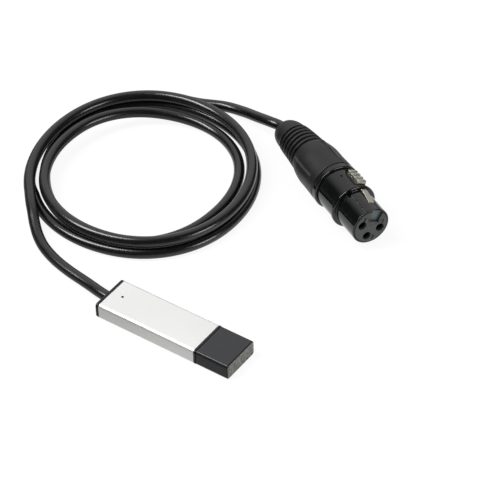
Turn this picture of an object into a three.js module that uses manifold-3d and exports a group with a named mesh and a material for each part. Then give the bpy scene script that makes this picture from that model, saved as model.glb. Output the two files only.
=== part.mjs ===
// A USB to DMX lighting interface: a flat USB stick with a push-on cap, about a metre of round
// cord wound in three loops, and a female three-pin XLR cable connector with a sprung latch.
// Millimetres, +Z up. The stick lies along X with its cap towards +X, its underside on z = 0.
import * as THREE from "three";
import { mergeVertices } from "three/addons/utils/BufferGeometryUtils.js";
import Module from "manifold-3d";

const wasm = await Module();
wasm.setup();

// The stick's outside.
const stickLength = 57.5;
const stickCorner = 1.2;
const rearFlange = 1.3;
const bezelFlange = 0.85;
const bezelProud = 0.2;
const capLength = 13.65;
const capGap = 0.1;
const capSideWall = 1.9;
const capTopWall = 0.75;
const sleeveWall = 0.8;
const pressClearance = 0.15;

// The USB plug.
const plugWidth = 12;
const plugHeight = 4.5;
const plugSheet = 0.3;
const plugReach = 12;
const plugInside = 6.6;
const plugClearance = 0.2;
const capEndGap = 0.35;
const contactSheet = 0.2;

// The circuit board.
const boardThickness = 1;
const boardLevel = 1.5;
const boardSideGap = 0.3;
const boardEndGap = 0.2;
const boardInset = 1.25;
const solderGap = 0.05;
const wireRun = 5;

// The status light, seen through a pinhole in the sleeve.
const pinholeDiameter = 1;
const pinholeFromSleeveEnd = 4.6;
const pinholeSide = 0.35;

// The cord.
const cordDiameter = 4.2;
const floorClearance = 0.05;
const cordHoleClearance = 0.15;
const meetGap = 0.3;
const wireDiameter = 0.9;

// The coil. Its upper layer spirals in, drops to the floor in a quarter turn, and spirals out.
const coilCentreX = -60.65;
const coilCentreY = 60.82;
const coilStartAngle = -130;
const coilSweep = 1080;
const dropFromAngle = 430;
const dropSweep = 90;
const upperRadius = 43.77;
const upperPitch = 9.72;
const lowerRadius = 38.02;
const lowerPitch = 4.18;
const layerStep = 4.8;
const shiftX = 2.5;
const shiftY = 0.65;
const ovalAlong = 0.02;
const ovalAcross = 2.45;
const strayStep = 60;
const strayShares = [
  0.69, 0.12, 0.53, 1.01, 0.67, 0.7, 1.62, 0.75, 0.1, 0.11,
  -1.4, -1.01, -0.07, 0.15, 0.28, 0.5, -0.46, -0.84, 0.12,
];

// The connector, by stations measured back from its face along its own axis.
const faceX = 31.87;
const faceY = 78.5;
const connectorYaw = 152.6;
const latchRoll = 26;
const connectorLength = 66.8;
const noseDiameter = 15.1;
const noseChamfer = 0.35;
const noseLength = 12.2;
const collarDiameter = 18.1;
const collarLength = 1.6;
const barrelDiameter = 17;
const barrelLength = 11.1;
const ringDiameter = 18.8;
const ringWidth = 2.6;
const ringGap = 0.1;
const stubDiameter = 15.4;
const stubLength = 9.5;
const boreDiameter = 13.8;
const insertProud = 0.3;
const insertLength = 22.3;
const contactCircle = 4.1;
const socketOuter = 3;
const socketBore = 2.4;

// The latch, which turns on a pin at its rear end.
const latchWidth = 4.2;
const toothWidth = 2.6;
const latchSideGap = 0.3;
const latchFront = 4.6;
const latchPinStation = 21.2;
const latchPinHeight = 6.9;
const latchPinDiameter = 1.2;
const latchUnderside = 5.7;
const thumbCrest = 10.2;
const thumbValley = 9.3;
const thumbSteps = 4;
const thumbPitch = 2.05;
const toothTop = 8.3;

// The boot.
const bootFrontDiameter = 18.7;
const gripDiameter = 18.2;
const gripStart = 34;
const taperStart = 37.7;
const taperEnd = 45.4;
const ribbedFrontDiameter = 15.6;
const ribbedRearDiameter = 13.2;
const grooveCount = 6;
const firstGroove = 45.6;
const groovePitch = 2.22;
const grooveWidth = 1.05;
const grooveDepth = 1.1;
const domeStart = 58.9;
const domeDiameter = 12.4;
const mouthDiameter = 5.6;

// Cuts run this far past the faces they open.
const overrun = 1;
const roundSegments = 40;
const smallSegments = 20;
const cornerSegments = 5;

// The stick's width and height follow the plug and the cap's walls.
const stickWidth = plugWidth + 2 * (plugClearance + capSideWall);
const stickHeight = plugHeight + 2 * (plugClearance + capTopWall);

// Places along the stick, from its own sizes.
const rearFace = -stickLength / 2;
const frontFace = stickLength / 2;
const sleeveRear = rearFace + rearFlange;
const capRear = frontFace - capLength;
const bezelFront = capRear - capGap;
const sleeveFront = bezelFront - bezelFlange;
const middleHeight = stickHeight / 2;
const innerWidth = stickWidth - 2 * sleeveWall;
const innerHeight = stickHeight - 2 * sleeveWall;
const innerCorner = stickCorner - sleeveWall / 2;
const plugFront = bezelFront + plugReach;
const plugRear = bezelFront - plugInside;
const boardRear = sleeveRear + boardInset;
const boardFront = plugRear - boardEndGap;
const boardTop = boardLevel + boardThickness;
const boardWidth = innerWidth - 2 * boardSideGap;
const cordRadius = cordDiameter / 2;
const cordRest = cordRadius + floorClearance;

// Stations along the connector, from its own sizes.
const collarEnd = noseLength + collarLength;
const barrelEnd = collarEnd + barrelLength - ringGap;
const ringEnd = barrelEnd + ringGap + ringWidth;
const stubEnd = barrelEnd + stubLength;
const gripFront = ringEnd + ringGap;
const insertFace = -insertProud;
const insertEnd = insertFace + insertLength;
const slotFront = latchFront - latchSideGap;

// Joining and cutting closed meshes.
function toSolid(geometry) {
  const bare = geometry.index ? geometry.toNonIndexed() : geometry.clone();
  bare.deleteAttribute("normal");
  bare.deleteAttribute("uv");
  const merged = mergeVertices(bare);
  const vertProperties = merged.attributes.position.array;
  const triVerts = new Uint32Array(merged.index.array);
  return new wasm.Manifold(new wasm.Mesh({ numProp: 3, vertProperties, triVerts }));
}

function toGeometry(solid) {
  const mesh = solid.getMesh();
  const geometry = new THREE.BufferGeometry();
  geometry.setAttribute("position", new THREE.BufferAttribute(mesh.vertProperties, 3));
  geometry.setIndex(new THREE.BufferAttribute(mesh.triVerts, 1));
  geometry.computeVertexNormals();
  return geometry;
}

function joined(...geometries) {
  const solids = geometries.map(toSolid);
  return toGeometry(solids.reduce((sum, next) => sum.add(next)));
}

function cut(body, ...cutters) {
  const solids = cutters.map(toSolid);
  return toGeometry(solids.reduce((left, cutter) => left.subtract(cutter), toSolid(body)));
}

function shared(first, second) {
  return toGeometry(toSolid(first).intersect(toSolid(second)));
}

// A block between two corners.
function block(x0, x1, y0, y1, z0, z1) {
  const geometry = new THREE.BoxGeometry(x1 - x0, y1 - y0, z1 - z0);
  return geometry.translate((x0 + x1) / 2, (y0 + y1) / 2, (z0 + z1) / 2);
}

// A rectangle with round corners about a centre on the shape's y axis.
function roundedRectangle(width, height, radius, centreHeight) {
  const shape = new THREE.Shape();
  const right = width / 2 - radius;
  const top = centreHeight + height / 2 - radius;
  const bottom = centreHeight - height / 2 + radius;
  shape.absarc(right, bottom, radius, -Math.PI / 2, 0);
  shape.absarc(right, top, radius, 0, Math.PI / 2);
  shape.absarc(-right, top, radius, Math.PI / 2, Math.PI);
  shape.absarc(-right, bottom, radius, Math.PI, Math.PI * 1.5);
  shape.closePath();
  return shape;
}

// A section drawn across the stick (y, z), run along X between two places.
function alongX(shape, x0, x1) {
  const options = { depth: x1 - x0, bevelEnabled: false, curveSegments: cornerSegments };
  const geometry = new THREE.ExtrudeGeometry(shape, options);
  const yAxis = new THREE.Vector3(0, 1, 0);
  const zAxis = new THREE.Vector3(0, 0, 1);
  const xAxis = new THREE.Vector3(1, 0, 0);
  const turn = new THREE.Matrix4().makeBasis(yAxis, zAxis, xAxis);
  return geometry.applyMatrix4(turn).translate(x0, 0, 0);
}

// A side view drawn in (x, z), as thick as width across Y and centred on y.
function acrossY(points, width, y) {
  const shape = new THREE.Shape(points.map(([x, z]) => new THREE.Vector2(x, z)));
  const geometry = new THREE.ExtrudeGeometry(shape, { depth: width, bevelEnabled: false });
  return geometry.rotateX(Math.PI / 2).translate(0, y + width / 2, 0);
}

// A plan drawn in (x, y), between two heights.
function upZ(points, z0, z1) {
  const shape = new THREE.Shape(points.map(([x, y]) => new THREE.Vector2(x, y)));
  const geometry = new THREE.ExtrudeGeometry(shape, { depth: z1 - z0, bevelEnabled: false });
  return geometry.translate(0, 0, z0);
}

// A closed profile of [station, radius] points turned about the X axis.
function turned(profile, segments) {
  const points = profile.map(([station, radius]) => new THREE.Vector2(radius, station));
  const geometry = new THREE.LatheGeometry(points, segments);
  return geometry.rotateZ(-Math.PI / 2);
}

// A plain cylinder along X, Y or Z between two places on that axis.
function rod(axis, from, to, diameter, u, v) {
  const geometry = new THREE.CylinderGeometry(diameter / 2, diameter / 2, to - from, smallSegments);
  const middle = (from + to) / 2;
  if (axis === "x") return geometry.rotateZ(-Math.PI / 2).translate(middle, u, v);
  if (axis === "y") return geometry.translate(u, middle, v);
  return geometry.rotateX(Math.PI / 2).translate(u, v, middle);
}

// A round cord or wire along a smooth route.
function corded(route, diameter, sides, steps) {
  const corners = [];
  for (let i = 0; i < sides; i++) {
    const angle = (2 * Math.PI * i) / sides;
    corners.push(new THREE.Vector2(Math.cos(angle), Math.sin(angle)).multiplyScalar(diameter / 2));
  }
  const points = route.map(([x, y, z]) => new THREE.Vector3(x, y, z));
  const extrudePath = new THREE.CatmullRomCurve3(points, false, "centripetal");
  return new THREE.ExtrudeGeometry(new THREE.Shape(corners), { steps, extrudePath });
}

// A tube of flat-sided rings through given centres, closed at both ends.
function ringTube(centres, radius, sides) {
  const positions = [];
  const index = [];
  const up = new THREE.Vector3(0, 0, 1);
  centres.forEach((centre, i) => {
    const before = centres[Math.max(i - 1, 0)];
    const after = centres[Math.min(i + 1, centres.length - 1)];
    const forward = after.clone().sub(before).normalize();
    const side = up.clone().cross(forward).normalize();
    const rise = forward.clone().cross(side);
    for (let k = 0; k < sides; k++) {
      const angle = (2 * Math.PI * k) / sides - Math.PI / 2;
      const corner = centre.clone();
      corner.addScaledVector(side, radius * Math.cos(angle));
      corner.addScaledVector(rise, radius * Math.sin(angle));
      positions.push(corner.x, corner.y, corner.z);
    }
  });
  for (let i = 0; i < centres.length - 1; i++) {
    for (let k = 0; k < sides; k++) {
      const a = i * sides + k;
      const b = i * sides + ((k + 1) % sides);
      index.push(a, b, a + sides, b, b + sides, a + sides);
    }
  }
  const last = (centres.length - 1) * sides;
  for (let k = 1; k < sides - 1; k++) {
    index.push(0, k + 1, k);
    index.push(last, last + k, last + k + 1);
  }
  const geometry = new THREE.BufferGeometry();
  geometry.setAttribute("position", new THREE.Float32BufferAttribute(positions, 3));
  geometry.setIndex(index);
  return geometry;
}

// Materials.
function finish(color, roughness, metalness) {
  return new THREE.MeshStandardMaterial({ color, roughness, metalness });
}
const satinAluminium = finish(0xc9cbcc, 0.35, 0.9);
const charcoalPlastic = finish(0x46484b, 0.7, 0);
const glossPlastic = finish(0x111213, 0.15, 0);
const blackCord = finish(0x17181a, 0.3, 0);
const blackShell = finish(0x0c0d0e, 0.2, 0.4);
const greyInsert = finish(0x3b3e40, 0.6, 0);
const nickel = finish(0xbfbdb2, 0.3, 1);
const steel = finish(0xb8babd, 0.3, 1);
const gold = finish(0xc9a348, 0.35, 1);
const tonguePlastic = finish(0xe9e9e6, 0.5, 0);
const boardGreen = finish(0x1f6b3a, 0.5, 0);
const chipBlack = finish(0x1c1d1f, 0.6, 0);
const clearPlastic = finish(0xe6ede4, 0.1, 0);
const ceramic = finish(0xa98f6a, 0.5, 0);
const wireColours = [finish(0xb3261e, 0.45, 0), finish(0x202124, 0.45, 0), finish(0xdedad0, 0.45, 0)];

const device = new THREE.Group();

function place(parent, name, geometry, material) {
  const mesh = new THREE.Mesh(geometry, material);
  mesh.name = name;
  parent.add(mesh);
}

// The sleeve is a flat tube with one pinhole in its top.
const pinholeX = sleeveRear + pinholeFromSleeveEnd;

function sleeve() {
  const outline = roundedRectangle(stickWidth, stickHeight, stickCorner, middleHeight);
  outline.holes.push(roundedRectangle(innerWidth, innerHeight, innerCorner, middleHeight));
  const tube = alongX(outline, sleeveRear, sleeveFront);
  const top = stickHeight + overrun;
  return cut(tube, rod("z", middleHeight, top, pinholeDiameter, pinholeX, pinholeSide));
}

// The rear end cap closes the sleeve, holds the board's rear edge and lets the cord through.
const lugLength = 3.5;
const lugInside = 3.2;

function rearEndCap() {
  const outline = roundedRectangle(stickWidth, stickHeight, stickCorner, middleHeight);
  const flange = alongX(outline, rearFace, sleeveRear);
  const plugOutline = roundedRectangle(
    innerWidth - 2 * pressClearance,
    innerHeight - 2 * pressClearance,
    innerCorner,
    middleHeight,
  );
  const plug = alongX(plugOutline, sleeveRear - overrun, sleeveRear + lugLength);
  const between = block(sleeveRear, sleeveRear + lugLength + overrun, -lugInside, lugInside, 0, stickHeight);
  const halfWidth = stickWidth / 2;
  const slot = block(
    boardRear - pressClearance,
    sleeveRear + lugLength + overrun,
    -halfWidth,
    halfWidth,
    boardLevel - pressClearance,
    boardTop + pressClearance,
  );
  const cordHole = rod(
    "x",
    rearFace - overrun,
    sleeveRear + overrun,
    cordDiameter + 2 * cordHoleClearance,
    0,
    middleHeight,
  );
  return cut(joined(flange, cut(plug, between)), slot, cordHole);
}

// The front bezel is a thin rim with two lugs either side of the USB plug.
const bezelLug = 3;

function frontBezel() {
  const outline = roundedRectangle(
    stickWidth + 2 * bezelProud,
    stickHeight,
    stickCorner,
    middleHeight,
  );
  const rim = alongX(outline, sleeveFront, bezelFront);
  const plugOutline = roundedRectangle(
    innerWidth - 2 * pressClearance,
    innerHeight - 2 * pressClearance,
    innerCorner,
    middleHeight,
  );
  const lugs = alongX(plugOutline, sleeveFront - bezelLug, sleeveFront + bezelFlange / 2);
  const halfWindow = plugWidth / 2 + pressClearance;
  const low = middleHeight - plugHeight / 2 - pressClearance;
  const high = middleHeight + plugHeight / 2 + pressClearance;
  const window = block(sleeveFront - bezelLug - overrun, bezelFront + overrun, -halfWindow, halfWindow, low, high);
  return cut(joined(rim, lugs), window);
}

// The cap pulls straight off the plug.
const cavityCorner = 0.4;

function usbCap() {
  const outline = roundedRectangle(stickWidth, stickHeight, stickCorner, middleHeight);
  const cavity = roundedRectangle(
    plugWidth + 2 * plugClearance,
    plugHeight + 2 * plugClearance,
    cavityCorner,
    middleHeight,
  );
  const body = alongX(outline, capRear, frontFace);
  return cut(body, alongX(cavity, capRear - overrun, plugFront + capEndGap));
}

// The USB plug's folded steel shell has two square windows above and two below.
const windowLength = 2.5;
const windowWidth = 2.1;
const windowFromFront = 5.2;
const windowSpacing = 5.7;
const sheetCorner = 0.5;

function usbShell() {
  const outline = roundedRectangle(plugWidth, plugHeight, sheetCorner, middleHeight);
  const innerSheetCorner = sheetCorner - plugSheet / 2;
  const inside = roundedRectangle(
    plugWidth - 2 * plugSheet,
    plugHeight - 2 * plugSheet,
    innerSheetCorner,
    middleHeight,
  );
  outline.holes.push(inside);
  const front = plugFront - windowFromFront;
  const windows = [-1, 1].map((side) => {
    const y = (side * windowSpacing) / 2;
    const halfWidth = windowWidth / 2;
    return block(front - windowLength, front, y - halfWidth, y + halfWidth, 0, stickHeight);
  });
  return cut(alongX(outline, plugRear, plugFront), ...windows);
}

// The tongue carries the four contacts, and its rear block fills the shell.
const sheetFit = 0.1;
const tongueThickness = 1.85;
const tongueSetback = 0.4;
const rearBlock = 4.5;
const contactWidth = 1;
const contactGrooveFit = 0.1;
const contactPlaces = [-3.5, -1, 1, 3.5];
const tongueLow = middleHeight - plugHeight / 2 + plugSheet + sheetFit;
const tongueTop = tongueLow + tongueThickness;
const blockTop = middleHeight + plugHeight / 2 - plugSheet - sheetFit;

function usbTongue() {
  const front = plugFront - tongueSetback;
  const shoulder = plugRear + rearBlock;
  const sideView = [
    [plugRear, tongueLow],
    [front, tongueLow],
    [front, tongueTop],
    [shoulder, tongueTop],
    [shoulder, blockTop],
    [plugRear, blockTop],
  ];
  const width = plugWidth - 2 * plugSheet - 2 * sheetFit;
  const grooveTop = tongueTop + contactSheet + contactGrooveFit;
  const grooves = contactPlaces.map((y) => {
    const halfGroove = contactWidth / 2 + contactGrooveFit;
    return block(plugRear - overrun, shoulder + overrun, y - halfGroove, y + halfGroove, tongueTop, grooveTop);
  });
  return cut(acrossY(sideView, width, 0), ...grooves);
}

// Each contact lies along the tongue and steps down to the board behind the plug.
const outerContactSetback = 1;
const innerContactSetback = 2;
const contactFoot = 1.6;
const contactBend = 0.5;

function usbContact(index) {
  const outer = index === 0 || index === contactPlaces.length - 1;
  const front = plugFront - tongueSetback - (outer ? outerContactSetback : innerContactSetback);
  const low = tongueTop + solderGap;
  const foot = boardTop + solderGap;
  const bend = plugRear - boardEndGap;
  const sideView = [
    [bend - contactFoot - contactBend, foot],
    [bend - contactBend, foot],
    [bend, low],
    [front, low],
    [front, low + contactSheet],
    [bend - contactSheet, low + contactSheet],
    [bend - contactBend - contactSheet, foot + contactSheet],
    [bend - contactFoot - contactBend, foot + contactSheet],
  ];
  return acrossY(sideView, contactWidth, contactPlaces[index]);
}

place(device, "stick_sleeve", sleeve(), satinAluminium);
place(device, "rear_end_cap", rearEndCap(), charcoalPlastic);
place(device, "front_bezel", frontBezel(), glossPlastic);
place(device, "usb_cap", usbCap(), charcoalPlastic);
place(device, "usb_shell", usbShell(), steel);
place(device, "usb_tongue", usbTongue(), tonguePlastic);
contactPlaces.forEach((_, i) => place(device, `usb_contact_${i + 1}`, usbContact(i), gold));

// A moulded chip with a row of bent legs along each side.
const legWidth = 0.3;
const legThickness = 0.2;
const legReach = 0.9;
const chipLift = 0.15;

function chip(x, y, length, width, height, legPitch, legsPerSide) {
  const foot = boardTop + solderGap;
  const low = foot + chipLift;
  const halfLength = length / 2;
  const halfWidth = width / 2;
  const body = block(x - halfLength, x + halfLength, y - halfWidth, y + halfWidth, low, foot + height);
  const legHeight = height / 2;
  const legs = [];
  for (let i = 0; i < legsPerSide; i++) {
    const legX = x + (i - (legsPerSide - 1) / 2) * legPitch;
    for (const side of [-1, 1]) {
      const inner = side * (halfWidth - legThickness);
      const outer = side * (halfWidth + legReach);
      const shoulder = side * (halfWidth + legReach / 2);
      const sideView = [
        [inner, foot + legHeight],
        [shoulder - side * legThickness, foot + legHeight],
        [shoulder - side * legThickness, foot],
        [outer, foot],
        [outer, foot + legThickness],
        [shoulder, foot + legThickness],
        [shoulder, foot + legHeight + legThickness],
        [inner, foot + legHeight + legThickness],
      ];
      const shape = new THREE.Shape(sideView.map(([u, v]) => new THREE.Vector2(y + u, v)));
      legs.push(alongX(shape, legX - legWidth / 2, legX + legWidth / 2));
    }
  }
  return joined(body, ...legs);
}

// The board and what is soldered to it. The parts share out the board's free length.
const interfaceChip = { y: 0.6, length: 10.2, width: 5.3, height: 1.75, pitch: 0.65, legs: 14 };
const driverChip = { y: -2.6, length: 4.9, width: 3.9, height: 1.5, pitch: 1.27, legs: 4 };
const capacitorSize = [1.25, 2, 1.1];
const capacitorSide = 3.4;
const capacitorSpacing = 2.8;
const fuseSize = [2.2, 4.5, 1.1];
const fuseSide = -0.6;
const ledSize = [1.2, 1.6, 0.7];
const interfaceGapShare = 0.64;
const driverGapShare = 0.315;
const fuseGapShare = 0.025;
const contactReach = contactFoot + contactBend;
const chipLengths = interfaceChip.length + driverChip.length;
const freeLength = boardFront - boardRear - wireRun - chipLengths - fuseSize[0] - contactReach;
const interfaceRear = boardRear + wireRun + interfaceGapShare * freeLength;
const driverRear = interfaceRear + interfaceChip.length + driverGapShare * freeLength;
const fuseRear = driverRear + driverChip.length + fuseGapShare * freeLength;

function soldered(x, y, [length, width, height]) {
  const foot = boardTop + solderGap;
  return block(x - length / 2, x + length / 2, y - width / 2, y + width / 2, foot, foot + height);
}

function circuitBoard() {
  return block(boardRear, boardFront, -boardWidth / 2, boardWidth / 2, boardLevel, boardTop);
}

function chipFrom(rear, { y, length, width, height, pitch, legs }) {
  return chip(rear + length / 2, y, length, width, height, pitch, legs);
}

function capacitor(i) {
  const x = driverRear + capacitorSize[0] / 2 + i * capacitorSpacing;
  return soldered(x, capacitorSide, capacitorSize);
}

// The light pipe stands on the light and fills the pinhole.
const pipeFlange = 1.7;
const pipeFlangeHeight = 0.8;
const pipeFit = 0.1;

function lightPipe() {
  const low = boardTop + solderGap + ledSize[2] + solderGap;
  const ceiling = stickHeight - sleeveWall - pipeFit;
  const stem = pinholeDiameter - 2 * pipeFit;
  const shank = rod("z", low, stickHeight - pipeFit, stem, pinholeX, pinholeSide);
  const flange = rod("z", ceiling - pipeFlangeHeight, ceiling, pipeFlange, pinholeX, pinholeSide);
  return joined(shank, flange);
}

// Three wires leave the cord's jacket inside the rear end cap and reach pads on the board.
const jacketEnd = sleeveRear + boardInset - meetGap;
const wireStarts = [[-1.1, 3], [0, 4.2], [1.1, 3]];
const wireEnds = [-2.3, -1, 1.9];
const wireSteps = 5;
const wireSides = 8;

function stickWire(i) {
  const [startY, startZ] = wireStarts[i];
  const start = jacketEnd + meetGap;
  const restZ = boardTop + solderGap + wireDiameter / 2;
  const middleY = (startY + 2 * wireEnds[i]) / 3;
  const middleZ = (startZ + restZ) / 2;
  const route = [
    [start, startY, Math.max(startZ, restZ)],
    [start + wireRun / 3, middleY, Math.max(middleZ, restZ)],
    [start + (2 * wireRun) / 3, wireEnds[i], restZ],
    [start + wireRun, wireEnds[i], restZ],
  ];
  return corded(route, wireDiameter, wireSides, wireSteps);
}

place(device, "circuit_board", circuitBoard(), boardGreen);
place(device, "interface_chip", chipFrom(interfaceRear, interfaceChip), chipBlack);
place(device, "line_driver_chip", chipFrom(driverRear, driverChip), chipBlack);
place(device, "status_led", soldered(pinholeX, pinholeSide, ledSize), clearPlastic);
place(device, "light_pipe", lightPipe(), clearPlastic);
place(device, "capacitor_1", capacitor(0), ceramic);
place(device, "capacitor_2", capacitor(1), ceramic);
place(device, "fuse", soldered(fuseRear + fuseSize[0] / 2, fuseSide, fuseSize), boardGreen);
wireColours.forEach((colour, i) => place(device, `stick_wire_${i + 1}`, stickWire(i), colour));

// The coil's centreline, from how far it has turned in degrees.
function smooth(share) {
  const t = THREE.MathUtils.clamp(share, 0, 1);
  return t * t * (3 - 2 * t);
}

// How far a strand strays from the even spiral, in cord diameters, eased between set places.
function stray(turn) {
  const place = turn / strayStep;
  const i = Math.min(Math.floor(place), strayShares.length - 2);
  const f = place - i;
  const at = (k) => strayShares[THREE.MathUtils.clamp(k, 0, strayShares.length - 1)];
  const [a, b, c, e] = [at(i - 1), at(i), at(i + 1), at(i + 2)];
  const bend = 2 * a - 5 * b + 4 * c - e + f * (3 * (b - c) + e - a);
  return b + (f * (c - a + f * bend)) / 2;
}

function coilPoint(turn) {
  const angle = THREE.MathUtils.degToRad(coilStartAngle - turn);
  const dropped = smooth((turn - dropFromAngle) / dropSweep);
  const upper = upperRadius - (upperPitch * turn) / 360;
  const lower = lowerRadius + (lowerPitch * (turn - dropFromAngle - dropSweep)) / 360;
  const shift = shiftX * Math.cos(angle) + shiftY * Math.sin(angle);
  const oval = -ovalAlong * Math.cos(2 * angle) - ovalAcross * Math.sin(2 * angle);
  const spiral = upper * (1 - dropped) + lower * dropped;
  const radius = spiral + shift + oval + cordDiameter * stray(turn);
  const x = coilCentreX + radius * Math.cos(angle);
  const y = coilCentreY + radius * Math.sin(angle);
  return new THREE.Vector3(x, y, cordRest + layerStep * (1 - dropped));
}

// A point straight on from one end of the coil, level with it.
const directionStep = 1;

function beyondCoil(turn, inward, distance) {
  const end = coilPoint(turn);
  const direction = end.clone().sub(coilPoint(turn + inward * directionStep)).normalize();
  return end.addScaledVector(direction, distance);
}

const coilSteps = 24;
const coilSides = 6;

function coilCentres() {
  const centres = [beyondCoil(0, 1, cordDiameter)];
  const stepAngle = 360 / coilSteps;
  for (let turn = 0; turn <= coilSweep; turn += stepAngle) centres.push(coilPoint(turn));
  centres.push(beyondCoil(coilSweep, -1, cordDiameter));
  return centres;
}

// The least clear gap between one pass of the coil and another.
function leastGap(centres) {
  let least = Infinity;
  const apart = Math.ceil(coilSteps / 2);
  for (let i = 0; i < centres.length; i++) {
    for (let k = i + apart; k < centres.length; k++) {
      least = Math.min(least, centres[i].distanceTo(centres[k]) - cordDiameter);
    }
  }
  return least;
}

const coilLine = coilCentres();
console.log(`least gap between the coil's passes: ${leastGap(coilLine).toFixed(2)} mm`);

// The lead runs from the stick along the floor, then climbs to the coil's upper layer.
const cordSides = 10;
const leadSteps = 12;

function cordLead() {
  const end = beyondCoil(0, 1, cordDiameter + meetGap);
  const route = [
    [jacketEnd, 0, middleHeight],
    [rearFace, 0, middleHeight],
    [-33, 0.6, 3.05],
    [-40.6, 2.4, 2.4],
    [-51.1, 4.3, 2.15],
    [-59, 6.4, 2.15],
    [-66, 9.3, 2.25],
    [-71, 12.3, 3],
    [-75.2, 15.7, 4.3],
    [-79.2, 19.6, 6],
    beyondCoil(0, 1, 2 * cordDiameter).toArray(),
    end.toArray(),
  ];
  return corded(route, cordDiameter, cordSides, leadSteps);
}

// The connector stands on its ring, with its axis level and its latch rolled to one side.
const axisHeight = ringDiameter / 2;
const yawed = new THREE.Group();
yawed.position.set(faceX, faceY, axisHeight);
yawed.rotation.z = THREE.MathUtils.degToRad(connectorYaw);
const connector = new THREE.Group();
connector.rotation.x = THREE.MathUtils.degToRad(latchRoll);
yawed.add(connector);
device.add(yawed);
yawed.updateMatrixWorld(true);

function onAxis(station) {
  return yawed.localToWorld(new THREE.Vector3(station, 0, 0));
}

// The tail leaves the coil under the lead's layer and enters the boot on the connector's axis.
const chuckFront = 31;
const jacketFront = chuckFront - meetGap;
const tailSteps = 24;

function cordTail() {
  const start = beyondCoil(coilSweep, -1, cordDiameter + meetGap);
  const route = [
    start.toArray(),
    beyondCoil(coilSweep, -1, 2 * cordDiameter).toArray(),
    [-100.3, 46.7, 2.15],
    [-104.4, 61.2, 2.15],
    [-104.5, 73, 2.15],
    [-101.3, 84.8, 2.15],
    [-95.7, 94, 2.15],
    [-88.4, 101, 2.15],
    [-78.8, 106.4, 2.15],
    [-67.3, 109.9, 2.15],
    [-58.1, 113.4, 2.4],
    [-49.7, 113.6, 3.6],
    [-41.4, 112, 6],
    [-34.3, 110.7, 8.4],
    onAxis(connectorLength + cordRadius).toArray(),
    onAxis(domeStart).toArray(),
    onAxis(firstGroove).toArray(),
    onAxis(jacketFront).toArray(),
  ];
  return corded(route, cordDiameter, cordSides, tailSteps);
}

place(device, "cord_lead", cordLead(), blackCord);
place(device, "cord_coil", ringTube(coilLine, cordRadius, coilSides), blackCord);
place(device, "cord_tail", cordTail(), blackCord);

// The latch slot, and the latch itself, are narrow in the nose and end in a blunt V at the rear.
const slotVLength = 3;
const slotTipWidth = 1.8;

function armPlan(front, width, tipWidth, rear) {
  const side = width / 2;
  const tip = tipWidth / 2;
  return [
    [front, -side],
    [latchPinStation, -side],
    [rear, -tip],
    [rear, tip],
    [latchPinStation, side],
    [front, side],
  ];
}

function latchPlan(front, narrowWidth, shoulder, width, tipWidth, rear) {
  const narrow = narrowWidth / 2;
  return [
    [front, -narrow],
    [shoulder, -narrow],
    ...armPlan(shoulder, width, tipWidth, rear),
    [shoulder, narrow],
    [front, narrow],
  ];
}

// The connector's shell: nose, collar, barrel and a stub that the boot screws over.
const pocketTop = 8.2;
const keywayAngle = 44.5;
const keywayWidth = 1.3;
const keywayDepth = 0.4;
const collarChamfer = 0.3;
const pinEndFit = 0.15;
const pinReach = 4.1;

function connectorShell() {
  const bore = boreDiameter / 2;
  const nose = noseDiameter / 2;
  const collar = collarDiameter / 2;
  const barrel = barrelDiameter / 2;
  const stub = stubDiameter / 2;
  const body = turned(
    [
      [0, bore],
      [0, nose - noseChamfer],
      [noseChamfer, nose],
      [noseLength, nose],
      [noseLength, collar - collarChamfer],
      [noseLength + collarChamfer, collar],
      [collarEnd - collarChamfer, collar],
      [collarEnd, collar - collarChamfer],
      [collarEnd, barrel],
      [barrelEnd, barrel],
      [barrelEnd, stub],
      [stubEnd, stub],
      [stubEnd, bore],
      [0, bore],
    ],
    roundSegments,
  );
  const slotWidth = latchWidth + 2 * latchSideGap;
  const rear = latchPinStation + slotVLength;
  const inner = latchUnderside - latchSideGap;
  const toothSlot = toothWidth + 2 * latchSideGap;
  const plan = latchPlan(slotFront, toothSlot, noseLength, slotWidth, slotTipWidth, rear);
  const under = upZ(plan, inner, pocketTop);
  const through = upZ(armPlan(collarEnd, slotWidth, slotTipWidth, rear), inner, ringDiameter);
  const pinHole = rod(
    "y",
    -pinReach - pinEndFit,
    pinReach + pinEndFit,
    latchPinDiameter + 2 * pinEndFit,
    latchPinStation,
    latchPinHeight,
  );
  const halfKey = keywayWidth / 2;
  const keyway = block(-overrun, noseLength, -halfKey, halfKey, nose - keywayDepth, collar);
  keyway.rotateX(THREE.MathUtils.degToRad(-keywayAngle));
  return cut(body, under, through, pinHole, keyway);
}

// The insert holds the three contacts. Its face has a recess, and its rear a channel, for the latch.
const recessDepth = 1.2;
const recessFloor = 2.2;
const recessFloorHalf = 2.1;
const recessTopHalf = 2.4;
const channelFloor = 3;
const insertClearance = 0.15;
const contactAngles = [-90, 90, 180];

function contactPlace(i) {
  const angle = THREE.MathUtils.degToRad(contactAngles[i]);
  return [contactCircle * Math.sin(angle), contactCircle * Math.cos(angle)];
}

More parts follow.
